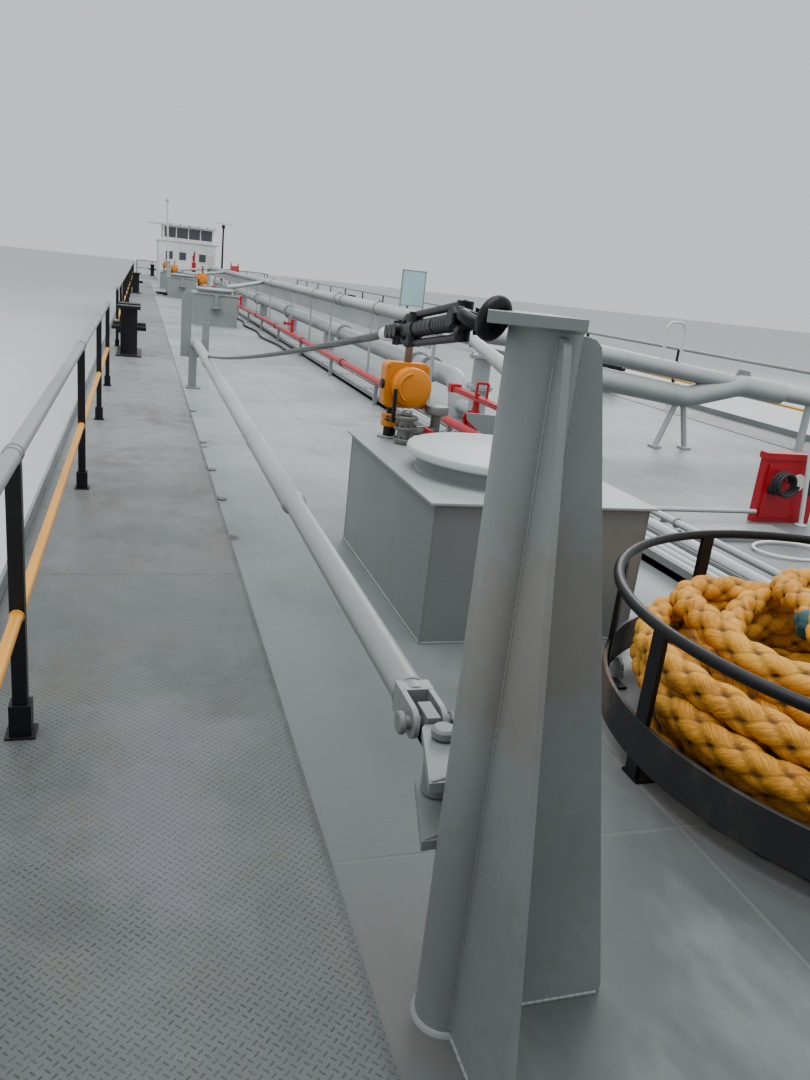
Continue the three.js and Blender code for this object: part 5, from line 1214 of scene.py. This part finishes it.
def makeFireBox():
    # box, overhanging lid and raised door, with a blank round label, hose outlet, latch and the door's screws
    (x0, x1), (y0, y1), top = fireBox["x"], fireBox["y"], fireBox["top"]
    parts = [brick((x0, x1), (y0, y1), (0.001, top)),
             brick((x0 - 0.012, x1 + 0.012), (y0 - 0.012, y1 + 0.012), (top - 0.05, top + 0.005)),
             brick((x1 - 0.004, x1 + 0.012), (y0 + 0.03, y1 - 0.03), (0.05, top - 0.09)),
             disc((x1 + 0.008, y0 + 0.36, 0.36), axisX, 0.075, 0.006, 0.002, 40, 2),
             disc((x1 + 0.006, y0 + 0.1, 0.3), axisX, 0.045, 0.05, 0.006, 32, 1),
             brick((x1 + 0.01, x1 + 0.022), (y1 - 0.1, y1 - 0.07), (0.25, 0.38), 1)]
    parts += [disc((x1 + 0.004, y, z), axisX, 0.01, 0.012, 0.003, 6)
              for y in (y0 + 0.05, y1 - 0.05) for z in (0.08, 0.48)]
    stand(putMesh("fire_box_doored", parts, [redPaint, rubber, labelWhite], 0.005),
          replaces=["fire_box"])


for make in (makeHeader, makeCargoPipe, makeFireMain, makeTray, makeCrossover, makeDeckValve, makeFireBox):
    make()
print("piping laid")

# small fittings that only the scene carries
fittings = {"hoopX": 23.02, "frameX": 26.36, "lugs": ((28.9, -2.3), (26.5, -2.2), (26.4, -0.4)),
            "drains": (26.0, 25.1, 24.0, 22.3), "drainY": -3.87}


def makeFittings():
    # guard hoop on the crossover pipe and the pipe frame before the fire box
    x = fittings["hoopX"]
    hoop = rounded([(x, 1.55, 1.03), (x, 1.55, 1.52), (x, 1.8, 1.52), (x, 1.8, 1.0)], 0.09, 8)
    x = fittings["frameX"]
    stay = rounded([(x, 1.0, 0.001), (x, 0.9, 0.78), (x, 1.16, 0.78), (x, 1.16, 0.3)], 0.05, 8)
    parts = [tubeOn(hoop, 0.017, 20), tubeOn(stay, 0.02, 20),
             disc((x, 1.0, 0.001), axisZ, 0.05, 0.012, 0.003, 28)]
    # lifting lugs by the hatch and drain caps along the starboard side
    for x, y in fittings["lugs"]:
        lug = [(x - 0.05, 0.0005), (x + 0.05, 0.0005), (x + 0.035, 0.06), (x, 0.085), (x - 0.035, 0.06)]
        parts.append(slab(lug, "xz", y - 0.008, y + 0.008, 1))
    for x in fittings["drains"]:
        parts.append(disc((x, fittings["drainY"], 0.0005), axisZ, 0.035, 0.012, 0.003, 24, 2))
    stand(putMesh("deck_fittings", parts, [whitePaint, gearPaint, bareSteel], 0.002))


hoses = {
    # along the fire main: start, where it bows to, end
    "line": ((14.4, -1.6, 0.03), (9.4, -1.75, 0.03), (5.1, -1.62, 0.03)), "sway": 0.05,
    # the others: the centre of each and, where it is a ring, its radius
    "coil": (-6.2, -3.55), "coilInner": 0.32, "hung": (26.32, 0.72, 0.36), "hungRing": 0.091, "loop": (27.1, 0.25),
    "radii": {"line": 0.024, "coil": 0.02, "hung": 0.014, "loop": 0.011},
}


def makeHoses():
    # a slow curve along the fire main with a coupling at each end, an oval coil aft that widens and rises as it
    # turns, a hose hung at the fire box, and a pale loop on deck
    radii = hoses["radii"]
    start, bend, stop = (np.array(place) for place in hoses["line"])
    line = bowed(start, bend, stop, 90)
    line[:, 1] += hoses["sway"] * np.sin(np.linspace(0, 1, 90) * 17)
    turns = np.linspace(0, 6 * np.pi, 200)
    (x, y), reach = hoses["coil"], hoses["coilInner"] + 0.01 * turns
    coil = np.column_stack([x + reach * np.cos(turns), y + reach * np.sin(turns) * 0.6, 0.03 + turns * 0.004])
    (x, y, z), ring = hoses["hung"], hoses["hungRing"]
    hung = np.column_stack([x + 0.006 * turns, y + ring * np.cos(turns), z + ring * np.sin(turns)])
    (x, y), a = hoses["loop"], np.linspace(0, 2 * np.pi * 1.12, 120)
    loop = np.column_stack([x + 0.2 * np.cos(a), y + 0.3 * np.sin(a), 0.014 + 0.01 * np.abs(np.sin(a * 0.5))])
    parts = [tubeOn(line, radii["line"], 14), tubeOn(coil, radii["coil"], 12), tubeOn(hung, radii["hung"], 12),
             disc(start, axisX, 0.034, 0.07, 0.004, 24), disc(stop, (-1, 0, 0), 0.034, 0.07, 0.004, 24),
             tubeOn(loop, radii["loop"], 12, 1)]
    stand(putMesh("deck_hoses", parts, [rubber, labelWhite]))


board = {"x": 19.2, "y": (-0.66, -0.3), "z": (1.3, 1.8), "frame": 0.012}


def makeBoard():
    # a blank notice board on the header; its frame's sides run on below it
    (y0, y1), (z0, z1), x, t = board["y"], board["z"], board["x"], board["frame"]
    bars = [((y0 - t, y0 + 0.006), (z0 - 0.05, z1 + t)), ((y1 - 0.006, y1 + t), (z0 - 0.05, z1 + t)),
            ((y0 - t, y1 + t), (z1, z1 + t)), ((y0 - t, y1 + t), (z0 - t, z0))]
    parts = [brick((x - 0.008, x + 0.004), (y0, y1), (z0, z1), 1)]
    parts += [brick((x - t, x + 0.008), *bar) for bar in bars]
    boardBlue = paintFinish("boardBlue", (0.42, 0.62, 0.68), 0.5, patch=0.04)
    stand(putMesh("notice_board", parts, [gearPaint, boardBlue], 0.002))


houseFront = {"x": -25.0, "windows": (-3.0, -2.2, -1.0), "width": 0.5, "z": (1.35, 1.9),
              "louvres": 9, "pitch": 0.06, "lamps": 5, "lampX": -24.75, "lampZ": (3.42, 3.46)}


def makeSmallWindows():
    # windows in thin frames, a louvred vent and a row of small lamps under the wheelhouse
    x, wide, (low, high) = houseFront["x"], houseFront["width"], houseFront["z"]
    parts = []
    for y in houseFront["windows"]:
        parts += [brick((x, x + 0.02), (y, y + wide), (low, high)),
                  brick((x + 0.015, x + 0.024), (y + 0.04, y + wide - 0.04), (low + 0.04, high - 0.04), 1)]
    for k in range(houseFront["louvres"]):
        rise = houseFront["pitch"] * k
        parts.append(brick((x, x + 0.03), (-0.42, -0.08), (1.3 + rise, 1.335 + rise)))
    for k in range(houseFront["lamps"]):
        place = (houseFront["lampX"], -1.6 + (k - 2) * 0.55)
        parts.append(rod(*((*place, level) for level in houseFront["lampZ"]), 0.05, 20, 1))
    stand(putMesh("house_windows", parts, [whitePaint, glass], 0.003))


ringHandle = {"x": 27.86, "inboard": 0.42, "radius": 0.075, "wire": 0.008, "lean": (0.15, -0.25, 1),
              "eye": (27.92, 0.36)}


def makeRingHandle():
    # black ring and its eye on the near lid's strap
    lidY = trunks[0][2] + lid["inboard"]
    top = trunks[0][4] + lid["rise"] + lid["thickness"]
    (eyeX, inboard), rise = ringHandle["eye"], top + 0.03
    centre = (ringHandle["x"], lidY + ringHandle["inboard"], rise)
    parts = [torus(centre, ringHandle["radius"], ringHandle["wire"], ringHandle["lean"], 40, 12),
             rod((eyeX, lidY + inboard, top - 0.004), (eyeX, lidY + inboard, rise), 0.014, 16)]
    stand(putMesh("lid_ring_handle", parts, [blackPaint]), "lid_1")


for make in (makeFittings, makeHoses, makeBoard, makeSmallWindows, makeRingHandle):
    make()
print("small fittings added")

# the other nodes: a merged copy with its edges eased, so that round parts shade round; those without a bevel are
# only repainted
dressed = {
    # node: body, finish, record slot, bevel
    "hull": ("barge", deckPaint, "deck_paint", 0.0),
    "bow_bulwark": ("barge", gearPaint, "deck_paint", 0.004),
    "windlass": ("barge", gearPaint, "gear_paint", 0.004),
    "rail_stern": ("barge", blackPaint, "black_paint", 0.003),
    "after_derrick_post": ("barge", gearPaint, "gear_paint", 0.003),
    "after_derrick_boom": ("after_boom", boomPaint, "gear_paint", 0.003),
    "propeller_starboard": ("screw_starboard", bronze, "bronze", 0.003),
    "propeller_port": ("screw_port", bronze, "bronze", 0.003),
    "rudder_starboard": ("rudder_starboard", blackPaint, "black_paint", 0.003),
    "rudder_port": ("rudder_port", blackPaint, "black_paint", 0.003),
    "house_walls": ("barge", whitePaint, "white_paint", 0.006),
    "house_roof": ("barge", whitePaint, "white_paint", 0.006),
    "house_door_port": ("door_port", whitePaint, "white_paint", 0.004),
    "house_door_aft": ("door_aft", whitePaint, "white_paint", 0.004),
    "wheelhouse_walls": ("barge", whitePaint, "white_paint", 0.006),
    "wheelhouse_glass": ("barge", glass, "window_glass", 0.0),
    "wheelhouse_roof": ("barge", whitePaint, "white_paint", 0.006),
    "radar_mast": ("barge", blackPaint, "black_paint", 0.003),
    "radar_scanner": ("scanner", whitePaint, "white_paint", 0.01),
    "hose_reel_stand": ("barge", redPaint, "red_paint", 0.003),
    "hose_reel": ("reel", redPaint, "red_paint", 0.003),
}
for place in ("starboard_middle", "starboard_aft", "port_middle", "port_aft", "stern_starboard", "stern_port"):
    dressed["bitts_" + place] = ("barge", blackPaint, "black_paint", 0.008)


def repaint(mesh, finish):
    # for the nodes that are shown as they are
    mesh.materials.clear()
    mesh.materials.append(finish.material)


for name, (body, finish, slot, bevel) in dressed.items():
    if bevel:
        mesh = nodes[name].data.copy()
        mesh.materials.clear()
        stand(finishMesh(name + "_eased", mesh, [finish], bevel), body, [name])
    else:
        repaint(nodes[name].data, finish)
for side in ("starboard", "port"):
    repaint(nodes["walkway_" + side].data, treadFinish(side == "starboard"))
print("other nodes dressed")

# floor and light
water = {"level": 0.5, "size": 400, "color": (0.62, 0.64, 0.64)}
sky = {"color": (0.86, 0.91, 0.95, 1), "strength": 0.9}
lights = {
    # place, aim, size, power
    "overhead": ((14, -3, 22), (10, -1, 1.8), 22, 4600),
    "fromAft": ((-10, 14, 16), (6, 0, 1.8), 16, 2400),
}


def addFloor():
    # flat and pale, at the water's level
    edge = water["size"] / 2
    corners = [(x, y, water["level"]) for x, y in ((-edge, -edge), (edge, -edge), (edge, edge), (-edge, edge))]
    plane = part(corners, [np.arange(4)[None]])
    putMesh("floor", [plane], [Finish("paleFloor", water["color"], 0.7)], toModel=False)


def addLight(name, place, aim, size, power):
    data = bpy.data.lights.new(name, "AREA")
    data.shape, data.size, data.energy = "DISK", size, power
    made = bpy.data.objects.new(name, data)
    made.location = place
    made.rotation_euler = (Vector(aim) - Vector(place)).to_track_quat("-Z", "Y").to_euler()
    bpy.context.scene.collection.objects.link(made)


def addSky():
    world = bpy.data.worlds.new("sky")
    bpy.context.scene.world = world
    world.use_nodes = True
    background = world.node_tree.nodes["Background"].inputs
    background["Color"].default_value, background["Strength"].default_value = sky["color"], sky["strength"]


addFloor()
addSky()
for name, values in lights.items():
    addLight(name, *values)
print("lights set")
